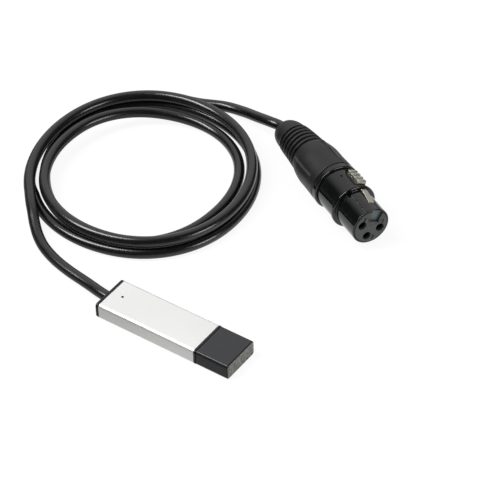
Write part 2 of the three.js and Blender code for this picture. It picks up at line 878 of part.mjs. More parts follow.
function connectorInsert() {
  const radius = boreDiameter / 2 - insertClearance;
  const body = turned(
    [
      [insertFace, 0],
      [insertFace, radius],
      [insertEnd, radius],
      [insertEnd, 0],
    ],
    roundSegments,
  );
  const recessShape = new THREE.Shape([
    new THREE.Vector2(-recessFloorHalf, recessFloor),
    new THREE.Vector2(recessFloorHalf, recessFloor),
    new THREE.Vector2(recessTopHalf, radius + overrun),
    new THREE.Vector2(-recessTopHalf, radius + overrun),
  ]);
  const recess = alongX(recessShape, insertFace - overrun, insertFace + recessDepth);
  const halfChannel = latchWidth / 2 + latchSideGap;
  const channel = block(
    slotFront - latchSideGap,
    insertEnd + overrun,
    -halfChannel,
    halfChannel,
    channelFloor,
    radius + overrun,
  );
  const holes = contactAngles.map((_, i) => {
    const [y, z] = contactPlace(i);
    const diameter = socketOuter + 2 * insertClearance;
    return rod("x", insertFace - overrun, insertEnd + overrun, diameter, y, z);
  });
  return cut(body, recess, channel, ...holes);
}

// Each contact is a bored sleeve in front and a solder tail behind.
const socketRecess = 0.8;
const socketLength = 19;
const boreDepth = 13;
const tailDiameter = 2.2;
const tailLength = 6.5;

function socketContact(i) {
  const [y, z] = contactPlace(i);
  const front = insertFace + socketRecess;
  const outer = socketOuter / 2;
  const bore = socketBore / 2;
  const tail = tailDiameter / 2;
  const end = front + socketLength;
  const geometry = turned(
    [
      [front + boreDepth, 0],
      [front + boreDepth, bore],
      [front, bore],
      [front, outer],
      [end, outer],
      [end, tail],
      [end + tailLength, tail],
      [end + tailLength, 0],
    ],
    smallSegments,
  );
  return geometry.translate(0, y, z);
}

// Three wires join the contacts' tails to the cord.
const wireGatherShare = 0.28;
const leadInLength = 0.5;

function connectorWire(i) {
  const [y, z] = contactPlace(i);
  const start = insertFace + socketRecess + socketLength + tailLength + leadInLength / 2;
  const end = jacketFront - leadInLength;
  const gatheredY = y * wireGatherShare;
  const gatheredZ = z * wireGatherShare;
  const route = [
    [start, y, z],
    [start + leadInLength, y, z],
    [end - leadInLength, gatheredY, gatheredZ],
    [end, gatheredY, gatheredZ],
  ];
  return corded(route, wireDiameter, wireSides, wireSteps);
}

// The ring between the barrel and the boot.
const ringChamfer = 0.4;

function codingRing() {
  const front = barrelEnd + ringGap;
  const inner = stubDiameter / 2 + pressClearance;
  const outer = ringDiameter / 2;
  return turned(
    [
      [front, inner],
      [front, outer - ringChamfer],
      [front + ringChamfer, outer],
      [ringEnd - ringChamfer, outer],
      [ringEnd, outer - ringChamfer],
      [ringEnd, inner],
      [front, inner],
    ],
    roundSegments,
  );
}

// The chuck is a slotted cone that the boot squeezes onto the cord.
const chuckEnd = 45;
const chuckTaperStart = 36;
const chuckTipDiameter = 6.6;
const chuckFit = 0.2;
const chuckSlotWidth = 0.8;
const chuckSlots = 3;

function cordChuck() {
  const front = boreDiameter / 2 - chuckFit;
  const bore = cordRadius + chuckFit;
  const body = turned(
    [
      [chuckFront, bore],
      [chuckFront, front],
      [chuckTaperStart, front],
      [chuckEnd, chuckTipDiameter / 2],
      [chuckEnd, bore],
      [chuckFront, bore],
    ],
    roundSegments,
  );
  const cutters = [];
  for (let i = 0; i < chuckSlots; i++) {
    const half = chuckSlotWidth / 2;
    const slot = block(chuckTaperStart, chuckEnd + overrun, -half, half, 0, ringDiameter);
    cutters.push(slot.rotateX((2 * Math.PI * i) / chuckSlots));
  }
  return cut(body, ...cutters);
}

// The boot: a grip that narrows, six grooves, a rounded mouth and four slim ridges.
const ridgeAngle = 3;
const ridgeCount = 4;
const ridgeWidth = 1.1;
const ridgeProud = 0.4;
const ridgeRear = 43.9;
const ridgeFront = 31;
const taperPoints = 6;
const bootFit = 0.15;
const gripChamfer = 0.5;

function gripRadius(station) {
  const narrowing = (gripDiameter - ribbedFrontDiameter) / 2;
  const flare = (bootFrontDiameter - gripDiameter) / 2;
  const taperShare = Math.max(0, (station - taperStart) / (taperEnd - taperStart));
  const flareShare = Math.max(0, (gripStart - station) / (gripStart - gripFront));
  return gripDiameter / 2 - narrowing * taperShare ** 2 + flare * flareShare;
}

function ribbedRadius(station) {
  const last = firstGroove + grooveCount * groovePitch;
  const share = (station - firstGroove) / (last - firstGroove);
  return THREE.MathUtils.lerp(ribbedFrontDiameter, ribbedRearDiameter, share) / 2;
}

function bootProfile() {
  const mouth = mouthDiameter / 2;
  const dome = domeDiameter / 2;
  const bore = cordRadius + bootFit + bootFit;
  const collet = chuckTipDiameter / 2 + bootFit;
  const thread = stubDiameter / 2 + bootFit;
  const profile = [
    [gripFront, thread],
    [gripFront, gripRadius(gripFront) - gripChamfer],
    [gripFront + gripChamfer, gripRadius(gripFront)],
    [gripStart, gripRadius(gripStart)],
  ];
  for (let i = 0; i <= taperPoints; i++) {
    const station = THREE.MathUtils.lerp(taperStart, taperEnd, i / taperPoints);
    profile.push([station, gripRadius(station)]);
  }
  for (let i = 0; i < grooveCount; i++) {
    const start = firstGroove + i * groovePitch;
    const end = start + grooveWidth;
    profile.push([start, ribbedRadius(start)]);
    profile.push([start, ribbedRadius(start) - grooveDepth]);
    profile.push([end, ribbedRadius(end) - grooveDepth]);
    profile.push([end, ribbedRadius(end)]);
  }
  const domeSteps = 4;
  for (let i = 0; i <= domeSteps; i++) {
    const turn = ((Math.PI / 2) * i) / domeSteps;
    const station = domeStart + (connectorLength - domeStart) * Math.sin(turn);
    profile.push([station, mouth + (dome - mouth) * Math.cos(turn)]);
  }
  profile.push([connectorLength, bore]);
  profile.push([chuckEnd + meetGap, bore]);
  profile.push([chuckEnd + meetGap, collet]);
  profile.push([chuckTaperStart, boreDiameter / 2]);
  profile.push([stubEnd + meetGap, thread]);
  profile.push([gripFront, thread]);
  return profile;
}

function boot() {
  const root = gripRadius(ridgeRear) - ridgeProud;
  const sideView = [
    [ridgeFront, gripRadius(ridgeFront) - ridgeProud],
    [ridgeRear, root],
    [ridgeRear, gripRadius(ridgeRear) + ridgeProud],
    [taperStart, gripRadius(taperStart) + ridgeProud / 2],
    [ridgeFront, gripRadius(ridgeFront)],
  ];
  const ridges = [];
  for (let i = 0; i < ridgeCount; i++) {
    const angle = THREE.MathUtils.degToRad(ridgeAngle + (360 * i) / ridgeCount);
    ridges.push(acrossY(sideView, ridgeWidth, 0).rotateX(angle));
  }
  return joined(turned(bootProfile(), roundSegments), ...ridges);
}

// The latch: a tooth in the nose, an arm under the collar and a stepped thumb plate.
const toothRampStart = 7.2;
const toothRampLength = 5.9;
const armTop = 7.9;
const thumbStart = collarEnd + latchSideGap;
const latchTipWidth = 1.2;
const crestShares = [0.18, 0.72];

function latchLever() {
  const rear = latchPinStation + slotVLength - latchSideGap;
  const sideView = [
    [latchFront, latchUnderside],
    [latchFront, toothRampStart],
    [latchFront + toothRampLength, toothTop],
    [noseLength - latchSideGap, toothTop],
    [noseLength - latchSideGap, armTop],
    [thumbStart, armTop],
  ];
  for (let i = 0; i < thumbSteps; i++) {
    const start = thumbStart + i * thumbPitch;
    sideView.push([start, thumbValley]);
    crestShares.forEach((share) => sideView.push([start + share * thumbPitch, thumbCrest]));
  }
  sideView.push([thumbStart + thumbSteps * thumbPitch, thumbValley]);
  sideView.push([rear, armTop]);
  sideView.push([rear, latchUnderside]);
  const body = acrossY(sideView.reverse(), latchWidth, 0);
  const shoulder = noseLength + latchSideGap;
  const outline = latchPlan(latchFront, toothWidth, shoulder, latchWidth, latchTipWidth, rear);
  const plan = upZ(outline, 0, ringDiameter);
  const hole = rod(
    "y",
    -latchWidth,
    latchWidth,
    latchPinDiameter + 2 * pinEndFit,
    latchPinStation,
    latchPinHeight,
  );
  return cut(shared(body, plan), hole);
}

function latchPin() {
  return rod("y", -pinReach, pinReach, latchPinDiameter, latchPinStation, latchPinHeight);
}

// A small coil spring stands in the insert's channel and lifts the latch.
const springStation = 12;
const springRadius = 1.3;
const springWire = 0.4;
const springTurns = 3;
const springStepsPerTurn = 8;
const springSides = 5;
const springSeatGap = 0.1;

function latchSpring() {
  const low = channelFloor + springSeatGap + springWire;
  const high = latchUnderside - springSeatGap - springWire;
  const centres = [];
  const steps = springTurns * springStepsPerTurn;
  for (let i = 0; i <= steps; i++) {
    const angle = (2 * Math.PI * i) / springStepsPerTurn;
    const x = springStation + springRadius * Math.cos(angle);
    const y = springRadius * Math.sin(angle);
    centres.push(new THREE.Vector3(x, y, THREE.MathUtils.lerp(low, high, i / steps)));
  }
  return ringTube(centres, springWire / 2, springSides);
}

place(connector, "connector_shell", connectorShell(), blackShell);
place(connector, "connector_insert", connectorInsert(), greyInsert);
contactAngles.forEach((_, i) => {
  place(connector, `socket_contact_${i + 1}`, socketContact(i), gold);
  place(connector, `connector_wire_${i + 1}`, connectorWire(i), wireColours[i]);
});
place(connector, "coding_ring", codingRing(), blackShell);
place(connector, "cord_chuck", cordChuck(), tonguePlastic);
place(connector, "boot", boot(), charcoalPlastic);
place(connector, "latch_lever", latchLever(), nickel);
place(connector, "latch_pin", latchPin(), steel);
place(connector, "latch_spring", latchSpring(), steel);

export default device;
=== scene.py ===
import math

import bmesh
import bpy
from mathutils import Matrix, Vector


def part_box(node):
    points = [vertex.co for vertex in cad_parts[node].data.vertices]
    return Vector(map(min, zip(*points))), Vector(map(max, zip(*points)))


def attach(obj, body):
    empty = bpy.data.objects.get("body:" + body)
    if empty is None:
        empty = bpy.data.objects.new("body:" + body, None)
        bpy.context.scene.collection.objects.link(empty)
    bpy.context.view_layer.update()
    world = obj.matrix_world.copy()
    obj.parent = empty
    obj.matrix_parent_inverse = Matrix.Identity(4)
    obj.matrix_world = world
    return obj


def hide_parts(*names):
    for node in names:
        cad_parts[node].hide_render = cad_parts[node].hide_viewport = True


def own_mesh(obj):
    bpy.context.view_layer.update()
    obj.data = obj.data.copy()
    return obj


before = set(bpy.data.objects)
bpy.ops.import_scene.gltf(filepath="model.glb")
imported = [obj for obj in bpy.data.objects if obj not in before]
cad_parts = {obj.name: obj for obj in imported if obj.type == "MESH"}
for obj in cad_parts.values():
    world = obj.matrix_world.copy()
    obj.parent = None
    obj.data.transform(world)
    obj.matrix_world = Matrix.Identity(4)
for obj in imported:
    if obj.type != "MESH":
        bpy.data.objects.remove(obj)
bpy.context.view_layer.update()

# Camera. It looks down on the stick from in front of its long side, turned towards the cap,
# with a long lens and a slight roll.
def linked(name, data):
    made = bpy.data.objects.new(name, data)
    bpy.context.scene.collection.objects.link(made)
    return made


camera_place = Vector((0.3874, -0.4920, 0.6000))
camera_target = Vector((-0.00319, 0.05175, 0.0))
camera_roll = math.radians(-1.34)
camera_lens, sensor_width = 176.3, 36.0
image_side = 500
half_pixel = 0.5 / image_side

forward = (camera_target - camera_place).normalized()
level_right = forward.cross(Vector((0, 0, 1))).normalized()
level_up = level_right.cross(forward)
camera_right = level_right * math.cos(camera_roll) + level_up * math.sin(camera_roll)
camera_up = level_up * math.cos(camera_roll) - level_right * math.sin(camera_roll)
camera_data = bpy.data.cameras.new("camera")
camera_data.lens = camera_lens
camera_data.sensor_width = sensor_width
camera_data.shift_x = -half_pixel
camera_data.shift_y = half_pixel
camera_data.clip_start = 0.01
camera = linked("camera", camera_data)
axes = Matrix((camera_right, camera_up, -forward)).transposed().to_4x4()
camera.matrix_world = Matrix.Translation(camera_place) @ axes
bpy.context.scene.camera = camera


# Studio. A wide white floor that still takes a faint shadow, and an even white room. What
# shines mirrors a bright backdrop in a dark room, a floor with a painted pool of light that
# glows brightest by the connector in reflections, and two soft boxes.

# An input of a node is a value, or the output that feeds it.
def add_node(tree, kind, inputs=None, **settings):
    node = tree.nodes.new(kind)
    for key, value in settings.items():
        setattr(node, key, value)
    for key, value in (inputs or {}).items():
        if isinstance(value, bpy.types.NodeSocket):
            tree.links.new(value, node.inputs[key])
        else:
            node.inputs[key].default_value = value
    return node.outputs


# This output is 1 for each of the named kinds of ray.
def any_ray(tree, first, *others):
    rays = add_node(tree, "ShaderNodeLightPath")
    result = rays[first]
    for name in others:
        result = add_node(tree, "ShaderNodeMath", {0: result, 1: rays[name]}, operation="MAXIMUM")[0]
    return result


floor_size = 6.0
floor_lift = 0.9
painted_glow_spot = (0.02, 0.08, 0)
near_floor, far_floor = 0.02, 0.16
far_lift = 0.15
floor_mesh = bpy.data.meshes.new("studio_floor")
corners = [(x * floor_size / 2, y * floor_size / 2, 0) for x, y in ((-1, -1), (1, -1), (1, 1), (-1, 1))]
floor_mesh.from_pydata(corners, [], [(0, 1, 2, 3)])
floor = linked("studio_floor", floor_mesh)

paper_white, full_white = (0.86, 0.86, 0.86, 1), (1, 1, 1, 1)
floor_paint = bpy.data.materials.new("floor_white")
floor_paint.use_nodes = True
tree = floor_paint.node_tree
tree.nodes.clear()
floor_place = add_node(tree, "ShaderNodeTexCoord")["Object"]
# Painted light: in reflections the floor glows brightest round this spot by the connector and fades away from
# it, though it is no lamp.
floor_reach = add_node(tree, "ShaderNodeVectorMath", {0: floor_place, 1: painted_glow_spot}, operation="DISTANCE")
fade_levels = {"Value": floor_reach["Value"], "From Min": near_floor, "From Max": far_floor,
               "To Min": 1.0, "To Max": far_lift}
painted_glow_fade = add_node(tree, "ShaderNodeMapRange", fade_levels, interpolation_type="SMOOTHSTEP")[0]
shown = any_ray(tree, "Is Camera Ray", "Is Transmission Ray")
glow_level = add_node(tree, "ShaderNodeMath", {0: shown, 1: painted_glow_fade}, operation="MAXIMUM")[0]
mirrored = any_ray(tree, "Is Camera Ray", "Is Glossy Ray", "Is Transmission Ray")
lift = add_node(tree, "ShaderNodeMath", {0: mirrored, 1: floor_lift}, operation="MULTIPLY")[0]
matt = add_node(tree, "ShaderNodeBsdfDiffuse", {"Color": paper_white})[0]
glow = add_node(tree, "ShaderNodeEmission", {"Color": full_white, "Strength": glow_level})[0]
blend = add_node(tree, "ShaderNodeMixShader", {"Fac": lift, 1: matt, 2: glow})[0]
add_node(tree, "ShaderNodeOutputMaterial", {"Surface": blend})
floor_mesh.materials.append(floor_paint)

room_light = 0.7
backdrop_way = (-0.435, 0.605, 0.667)
room_dark, backdrop_light = 0.05, 0.95
backdrop_edge, backdrop_core = 0.55, 0.95
world = bpy.data.worlds.new("white_room")
bpy.context.scene.world = world
world.use_nodes = True
tree = world.node_tree
tree.nodes.clear()
direction = add_node(tree, "ShaderNodeTexCoord")["Generated"]
climb_from = add_node(tree, "ShaderNodeVectorMath", {0: direction, 1: backdrop_way}, operation="DOT_PRODUCT")
climb_levels = {"Value": climb_from["Value"], "From Min": backdrop_edge, "From Max": backdrop_core,
                "To Min": room_dark, "To Max": backdrop_light}
climb = add_node(tree, "ShaderNodeMapRange", climb_levels, interpolation_type="SMOOTHSTEP")[0]
glossy = any_ray(tree, "Is Glossy Ray")
mirrored = add_node(tree, "ShaderNodeMix", {0: glossy, 2: room_light, 3: climb}, data_type="FLOAT")[0]
shown = any_ray(tree, "Is Camera Ray", "Is Transmission Ray")
strength = add_node(tree, "ShaderNodeMix", {0: shown, 2: mirrored, 3: 1.0}, data_type="FLOAT")[0]
sky = add_node(tree, "ShaderNodeBackground", {"Color": full_white, "Strength": strength})[0]
add_node(tree, "ShaderNodeOutputWorld", {"Surface": sky})

lit_place = Vector((-0.02, 0.04, 0))


def soft_box(name, place, width, height, watts):
    data = bpy.data.lights.new(name, "AREA")
    data.shape = "RECTANGLE"
    data.size = width
    data.size_y = height
    data.energy = watts
    turn = (lit_place - Vector(place)).to_track_quat("-Z", "Y").to_matrix().to_4x4()
    linked(name, data).matrix_world = Matrix.Translation(place) @ turn


soft_box("tall_box", (-0.56, -0.38, 1.06), 0.3, 0.9, 15.0)
soft_box("right_box", (1.15, 0.1, 0.42), 0.5, 0.4, 5.0)
bpy.context.scene.view_settings.view_transform = "Standard"


# Cord. About a metre of round cord in a glossy soft vinyl jacket. It leaves the stick, is
# wound in three loops whose upper layer spirals in and whose lower layer spirals out, and
# ends inside the connector's boot.
def tint(code):
    parts = [int(code[i:i + 2], 16) / 255 for i in (0, 2, 4)]
    linear = [c / 12.92 if c <= 0.04045 else ((c + 0.055) / 1.055) ** 2.4 for c in parts]
    return (*linear, 1.0)


# Starts a node group. It comes with the outputs of its input node.
def new_group(name, kind, inputs, outputs):
    group = bpy.data.node_groups.new(name, kind)
    for in_out, sockets_of in (("INPUT", inputs), ("OUTPUT", outputs)):
        for label, socket_kind in sockets_of.items():
            socket_type = f"NodeSocket{socket_kind}"
            group.interface.new_socket(name=label, in_out=in_out, socket_type=socket_type)
    return group, add_node(group, "NodeGroupInput")


# Fine moulding or casting grain: two sizes of noise that vary colour, roughness and height.
grain, given = new_group(
    "surface_grain",
    "ShaderNodeTree",
    {"Dark": "Color", "Light": "Color", "Grain per metre": "Float", "Cloud per metre": "Float",
     "Roughness low": "Float", "Roughness high": "Float"},
    {"Color": "Color", "Roughness": "Float", "Height": "Float"},
)
on_piece = add_node(grain, "ShaderNodeTexCoord")["Object"]
fine_levels = {"Vector": on_piece, "Scale": given["Grain per metre"], "Detail": 3.0}
fine = add_node(grain, "ShaderNodeTexNoise", fine_levels)["Fac"]
cloud_levels = {"Vector": on_piece, "Scale": given["Cloud per metre"], "Detail": 2.0}
cloud = add_node(grain, "ShaderNodeTexNoise", cloud_levels)["Fac"]
cloud_share, noise_low, noise_high = 0.45, 0.35, 0.65
both = add_node(grain, "ShaderNodeMix", {0: cloud_share, 2: fine, 3: cloud}, data_type="FLOAT")[0]
spread_levels = {"Value": both, "From Min": noise_low, "From Max": noise_high}
spread = add_node(grain, "ShaderNodeMapRange", spread_levels)[0]
shade_levels = {0: spread, 6: given["Dark"], 7: given["Light"]}
shade = add_node(grain, "ShaderNodeMix", shade_levels, data_type="RGBA")[2]
rough_levels = {0: spread, 2: given["Roughness low"], 3: given["Roughness high"]}
rough = add_node(grain, "ShaderNodeMix", rough_levels, data_type="FLOAT")[0]
add_node(grain, "NodeGroupOutput", {"Color": shade, "Roughness": rough, "Height": fine})


# A finish: two tints, a range of roughness, grains per metre, the depth of the grain in metres,
# and clouds per metre. What differs from plain plastic is named after them.
def grained(name, dark, light, roughness, per_metre, depth, cloud_scale, **shader):
    made = bpy.data.materials.new(name)
    made.use_nodes = True
    tree = made.node_tree
    levels = {"Dark": tint(dark), "Light": tint(light),
              "Grain per metre": per_metre, "Cloud per metre": cloud_scale,
              "Roughness low": roughness[0], "Roughness high": roughness[1]}
    skin = add_node(tree, "ShaderNodeGroup", levels, node_tree=grain)
    bump = add_node(tree, "ShaderNodeBump", {"Strength": 1.0, "Distance": depth, "Height": skin["Height"]})
    plastic = tree.nodes["Principled BSDF"].inputs
    tree.links.new(skin["Color"], plastic["Base Color"])
    tree.links.new(skin["Roughness"], plastic["Roughness"])
    tree.links.new(bump[0], plastic["Normal"])
    for key, value in shader.items():
        plastic[key.replace("_", " ")].default_value = value
    return made


def finished(name, mesh, finish, sharp=35.0):
    mesh.materials.append(finish)
    mesh.shade_smooth()
    mesh.set_sharp_from_angle(angle=math.radians(sharp))
    return linked(name, mesh)


# A skin over rings of points. Closed joins the last ring to the first, and seam joins the last
# point of each ring to its first.
def loft(name, rings, closed=False, seam=True, weld=0.0):
    count = len(rings[0])
    faces = []
    for i in range(len(rings) if closed else len(rings) - 1):
        a, b = i * count, (i + 1) % len(rings) * count
        for k in range(count if seam else count - 1):
            n = (k + 1) % count
            faces.append((a + k, a + n, b + n, b + k))
    if not closed:
        faces.append(tuple(reversed(range(count))))
        faces.append(tuple(range((len(rings) - 1) * count, len(rings) * count)))
    mesh = bpy.data.meshes.new(name)
    mesh.from_pydata([tuple(point) for ring in rings for point in ring], [], faces)
    work = bmesh.new()
    work.from_mesh(mesh)
    if weld:
        bmesh.ops.remove_doubles(work, verts=work.verts, dist=weld)
    bmesh.ops.recalc_face_normals(work, faces=work.faces)
    work.to_mesh(mesh)
    work.free()
    return mesh


cord_diameter = 0.0042
cord_rest = cord_diameter / 2 + 0.00005
stick_middle = 0.0032
rear_face = -0.02875

# The coil's turns are in degrees, counted from where it starts.
coil_centre = Vector((-0.06065, 0.06082, 0))
coil_start = -130.0
coil_sweep = 1080.0
drop_from = 430.0
drop_sweep = 90.0
upper_radius, upper_pitch = 0.04377, 0.00972
lower_radius, lower_pitch = 0.03802, 0.00418
layer_step = 0.0044
shift = Vector((0.0025, 0.00065, 0))
oval_along, oval_across = 0.00002, 0.00245
stray_step = 60.0
stray_shares = [0.69, 0.12, 0.53, 1.01, 0.67, 0.7, 1.62, 0.75, 0.1, 0.11,
                -1.4, -1.01, -0.07, 0.15, 0.28, 0.5, -0.46, -0.84, 0.12]


def eased(share):
    t = min(max(share, 0.0), 1.0)
    return t * t * (3 - 2 * t)


def stray(turn):
    place = turn / stray_step
    i = min(int(place), len(stray_shares) - 2)
    f = place - i
    ends = [min(max(i + k, 0), len(stray_shares) - 1) for k in (-1, 0, 1, 2)]
    a, b, c, e = [stray_shares[k] for k in ends]
    bend = 2 * a - 5 * b + 4 * c - e + f * (3 * (b - c) + e - a)
    return b + f * (c - a + f * bend) / 2


def coil_point(turn):
    angle = math.radians(coil_start - turn)
    dropped = eased((turn - drop_from) / drop_sweep)
    upper = upper_radius - upper_pitch * turn / 360
    lower = lower_radius + lower_pitch * (turn - drop_from - drop_sweep) / 360
    outward = Vector((math.cos(angle), math.sin(angle), 0))
    oval = -oval_along * math.cos(2 * angle) - oval_across * math.sin(2 * angle)
    radius = upper * (1 - dropped) + lower * dropped + shift.dot(outward) + oval
    radius += cord_diameter * stray(turn)
    return coil_centre + outward * radius + Vector((0, 0, cord_rest + layer_step * (1 - dropped)))


def beyond_coil(turn, inward, distance):
    end = coil_point(turn)
    return end + (end - coil_point(turn + inward)).normalized() * distance


# A smooth curve through points, eased by the root of the distance between them.
def through(points, spacing):
    pts = [Vector(p) for p in points]
    pts = [2 * pts[0] - pts[1]] + pts + [2 * pts[-1] - pts[-2]]
    line = []
    for four in zip(pts, pts[1:], pts[2:], pts[3:]):
        knots = [0.0]
        for before, after in zip(four, four[1:]):
            knots.append(knots[-1] + math.sqrt((after - before).length))
        steps = max(1, round((four[2] - four[1]).length / spacing))
        for k in range(steps):
            t = knots[1] + (knots[2] - knots[1]) * k / steps
            mixed = four
            for spans in (((0, 1), (1, 2), (2, 3)), ((0, 2), (1, 3)), ((1, 2),)):
                shares = [(t - knots[i]) / (knots[j] - knots[i]) for i, j in spans]
                mixed = [p * (1 - share) + q * share for p, q, share in zip(mixed, mixed[1:], shares)]
            line.append(mixed[0])
    line.append(pts[-2])
    return line


# The connector's own frame: x runs back from its face, z points to its latch.
face_place = Vector((0.03187, 0.0785, 0.0094))
connector_yaw = math.radians(152.6)
latch_roll = math.radians(26)
yawed = Matrix.Translation(face_place) @ Matrix.Rotation(connector_yaw, 4, "Z")
connector = yawed @ Matrix.Rotation(latch_roll, 4, "X")


def on_axis(station):
    return yawed @ Vector((station, 0, 0))


# The boot's tip hangs a little under the cord's weight.
tip_from, tip_end, tip_fall = 0.05, 0.0668, 0.0016
tip_bend = 1.6


def tip_drop(station):
    return tip_fall * max(0.0, (station - tip_from) / (tip_end - tip_from)) ** tip_bend


cord_step = 0.0012
lead_route = [
    (-0.0265, 0, stick_middle),
    (rear_face, 0, stick_middle),
    (-0.033, 0.0006, 0.00305),
    (-0.0406, 0.0024, 0.0024),
    (-0.0511, 0.0043, cord_rest),
    (-0.059, 0.0064, cord_rest),
    (-0.066, 0.0093, 0.00225),
    (-0.071, 0.0123, 0.003),
    (-0.0752, 0.0157, 0.0043),
    (-0.0792, 0.0196, 0.006),
    beyond_coil(0, 1, 2 * cord_diameter),
    coil_point(0),
]
tail_route = [
    coil_point(coil_sweep),
    beyond_coil(coil_sweep, -1, 2 * cord_diameter),
    (-0.1003, 0.0467, cord_rest),
    (-0.1044, 0.0612, cord_rest),
    (-0.1045, 0.073, cord_rest),
    (-0.1013, 0.0848, cord_rest),
    (-0.0957, 0.094, cord_rest),
    (-0.0884, 0.101, cord_rest),
    (-0.0788, 0.1064, cord_rest),
    (-0.0673, 0.1099, cord_rest),
    (-0.0581, 0.1134, 0.0024),
    (-0.0497, 0.1136, 0.0035),
    (-0.0414, 0.1119, 0.0055),
    (-0.0343, 0.1106, 0.0071),
    on_axis(0.0689) - Vector((0, 0, tip_drop(0.0689))),
    on_axis(0.0589) - Vector((0, 0, tip_drop(0.0589))),
    on_axis(0.0456),
    on_axis(0.0307),
]
coil_turn_step = 1.6
coil_line = [coil_point(i * coil_turn_step) for i in range(int(coil_sweep / coil_turn_step) + 1)]
cord_line = through(lead_route, cord_step)[:-1] + coil_line + through(tail_route, cord_step)[1:]
cord_sides = 28


def cord_mesh(line):
    rings = []
    for before, point, after in zip([line[0]] + line, line, line[1:] + [line[-1]]):
        along = (after - before).normalized()
        side = Vector((0, 0, 1)).cross(along).normalized()
        rise = along.cross(side)
        ring = []
        for k in range(cord_sides):
            angle = math.tau * k / cord_sides
            ring.append(point + (side * math.cos(angle) + rise * math.sin(angle)) * cord_diameter / 2)
        rings.append(ring)
    return loft("cord", rings)


cord_jacket = grained("cord_vinyl", "080909", "0e0f0e", (0.22, 0.28), 500, 1e-6, 45,
                      Coat_Weight=0.15, Coat_Roughness=0.16)
cord = finished("cord", cord_mesh(cord_line), cord_jacket, 60.0)
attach(cord, "interface")
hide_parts("cord_lead", "cord_coil", "cord_tail")


# Sleeve. The stick's body is a flat tube of satin anodised aluminium, cut square at both
# ends, with one drilled pinhole over the status light, its wall painted near black as shade.

# A corner of an outline is two places and, if it is round, its fillet.
def rounded(corners, closed=True, steps=6):
    line = []
    for i, corner in enumerate(corners):
        place = Vector(corner[:2])
        fillet = corner[2] if len(corner) > 2 else 0
        if not fillet or (not closed and i in (0, len(corners) - 1)):
            line.append(place)
            continue
        before = Vector(corners[i - 1][:2]) - place
        after = Vector(corners[(i + 1) % len(corners)][:2]) - place
        half = before.angle(after) / 2
        reach = min(fillet / math.tan(half), 0.49 * before.length, 0.49 * after.length)
        radius = reach * math.tan(half)
        inwards = (before.normalized() + after.normalized()).normalized()
        centre = place + inwards * radius / math.sin(half)
        first = place + before.normalized() * reach - centre
        last = place + after.normalized() * reach - centre
        start = math.atan2(first.y, first.x)
        sweep = (math.atan2(last.y, last.x) - start + math.pi) % (2 * math.pi) - math.pi
        for k in range(steps + 1):
            angle = start + sweep * k / steps
            line.append(centre + radius * Vector((math.cos(angle), math.sin(angle))))
    return line


def oblong(low_u, high_u, low_v, high_v, *fillet):
    corners = ((low_u, low_v), (high_u, low_v), (high_u, high_v), (low_u, high_v))
    return [(*corner, *fillet) for corner in corners]


def section(x, width, height, corner, inset=0.0):
    y, z = width / 2 - inset, height / 2 - inset
    outline = rounded(oblong(-y, y, -z, z, max(corner - inset, 0.00002)), steps=10)
    return [Vector((x, point.x, stick_middle + point.y)) for point in outline]


def ring_outline(centre, radius, count=40):
    angles = [math.tau * k / count for k in range(count)]
    return [centre + radius * Vector((math.cos(angle), math.sin(angle))) for angle in angles]


# An outline drawn across one axis and pulled along it, from low to high.
def prism(name, outline, low, high, axis, placement=Matrix()):
    rings = []
    for level in (low, high):
        ring = []
        for point in outline:
            place = list(point[:2])
            place.insert("xyz".index(axis), level)
            ring.append(placement @ Vector(place))
        rings.append(ring)
    return loft(name, rings)


# A profile of stations and radii turned round the x axis.
def turned(name, profile, placement, segments=96, closed=True):
    rings = []
    for k in range(segments):
        up, aside = math.cos(math.tau * k / segments), math.sin(math.tau * k / segments)
        rings.append([placement @ Vector((p[0], p[1] * aside, p[1] * up)) for p in profile])
    return loft(name, rings, closed=True, seam=closed, weld=1e-7)


def evaluated_mesh(piece):
    bpy.context.view_layer.update()
    return bpy.data.meshes.new_from_object(piece.evaluated_get(bpy.context.evaluated_depsgraph_get()))


def worked(name, mesh, finish, joins=(), cuts=(), keeps=(), edge=0.0, edge_angle=32.0, edge_steps=3):
    piece = linked(name, mesh)
    mesh.shade_smooth()
    helpers = []
    for operation, others in (("UNION", joins), ("INTERSECT", keeps), ("DIFFERENCE", cuts)):
        for other in others:
            other.shade_smooth()
            helpers.append(linked("helper", other))
            step = piece.modifiers.new(operation, "BOOLEAN")
            step.operation = operation
            step.solver = "EXACT"
            step.object = helpers[-1]
    if edge:
        bevel = piece.modifiers.new("edge", "BEVEL")
        bevel.width = edge
        bevel.segments = edge_steps
        bevel.limit_method = "ANGLE"
        bevel.angle_limit = math.radians(edge_angle)
        bevel.use_clamp_overlap = False
    piece.modifiers.new("even_shading", "WEIGHTED_NORMAL").keep_sharp = True
    result = evaluated_mesh(piece)
    piece.modifiers.clear()
    piece.data = result
    result.materials.clear()
    result.materials.append(finish)
    for helper in helpers:
        bpy.data.objects.remove(helper)
    return piece


# Gives a second finish to the faces that are chosen.
def patched(piece, finish, chosen):
    piece.data.materials.append(finish)
    for face in piece.data.polygons:
        if chosen(face):
            face.material_index = len(piece.data.materials) - 1


def stands_for(piece, body, slot_name, *nodes):
    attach(piece, body)
    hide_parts(*nodes)


sleeve_low, sleeve_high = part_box("stick_sleeve")
sleeve_width = sleeve_high.y - sleeve_low.y
sleeve_height = sleeve_high.z - sleeve_low.z
sleeve_wall = 0.0008
stick_corner = 0.0012
outer_size = (sleeve_width, sleeve_height, stick_corner)
inner_size = (sleeve_width - 2 * sleeve_wall, sleeve_height - 2 * sleeve_wall, stick_corner - sleeve_wall / 2)
cut_edge = 0.0001

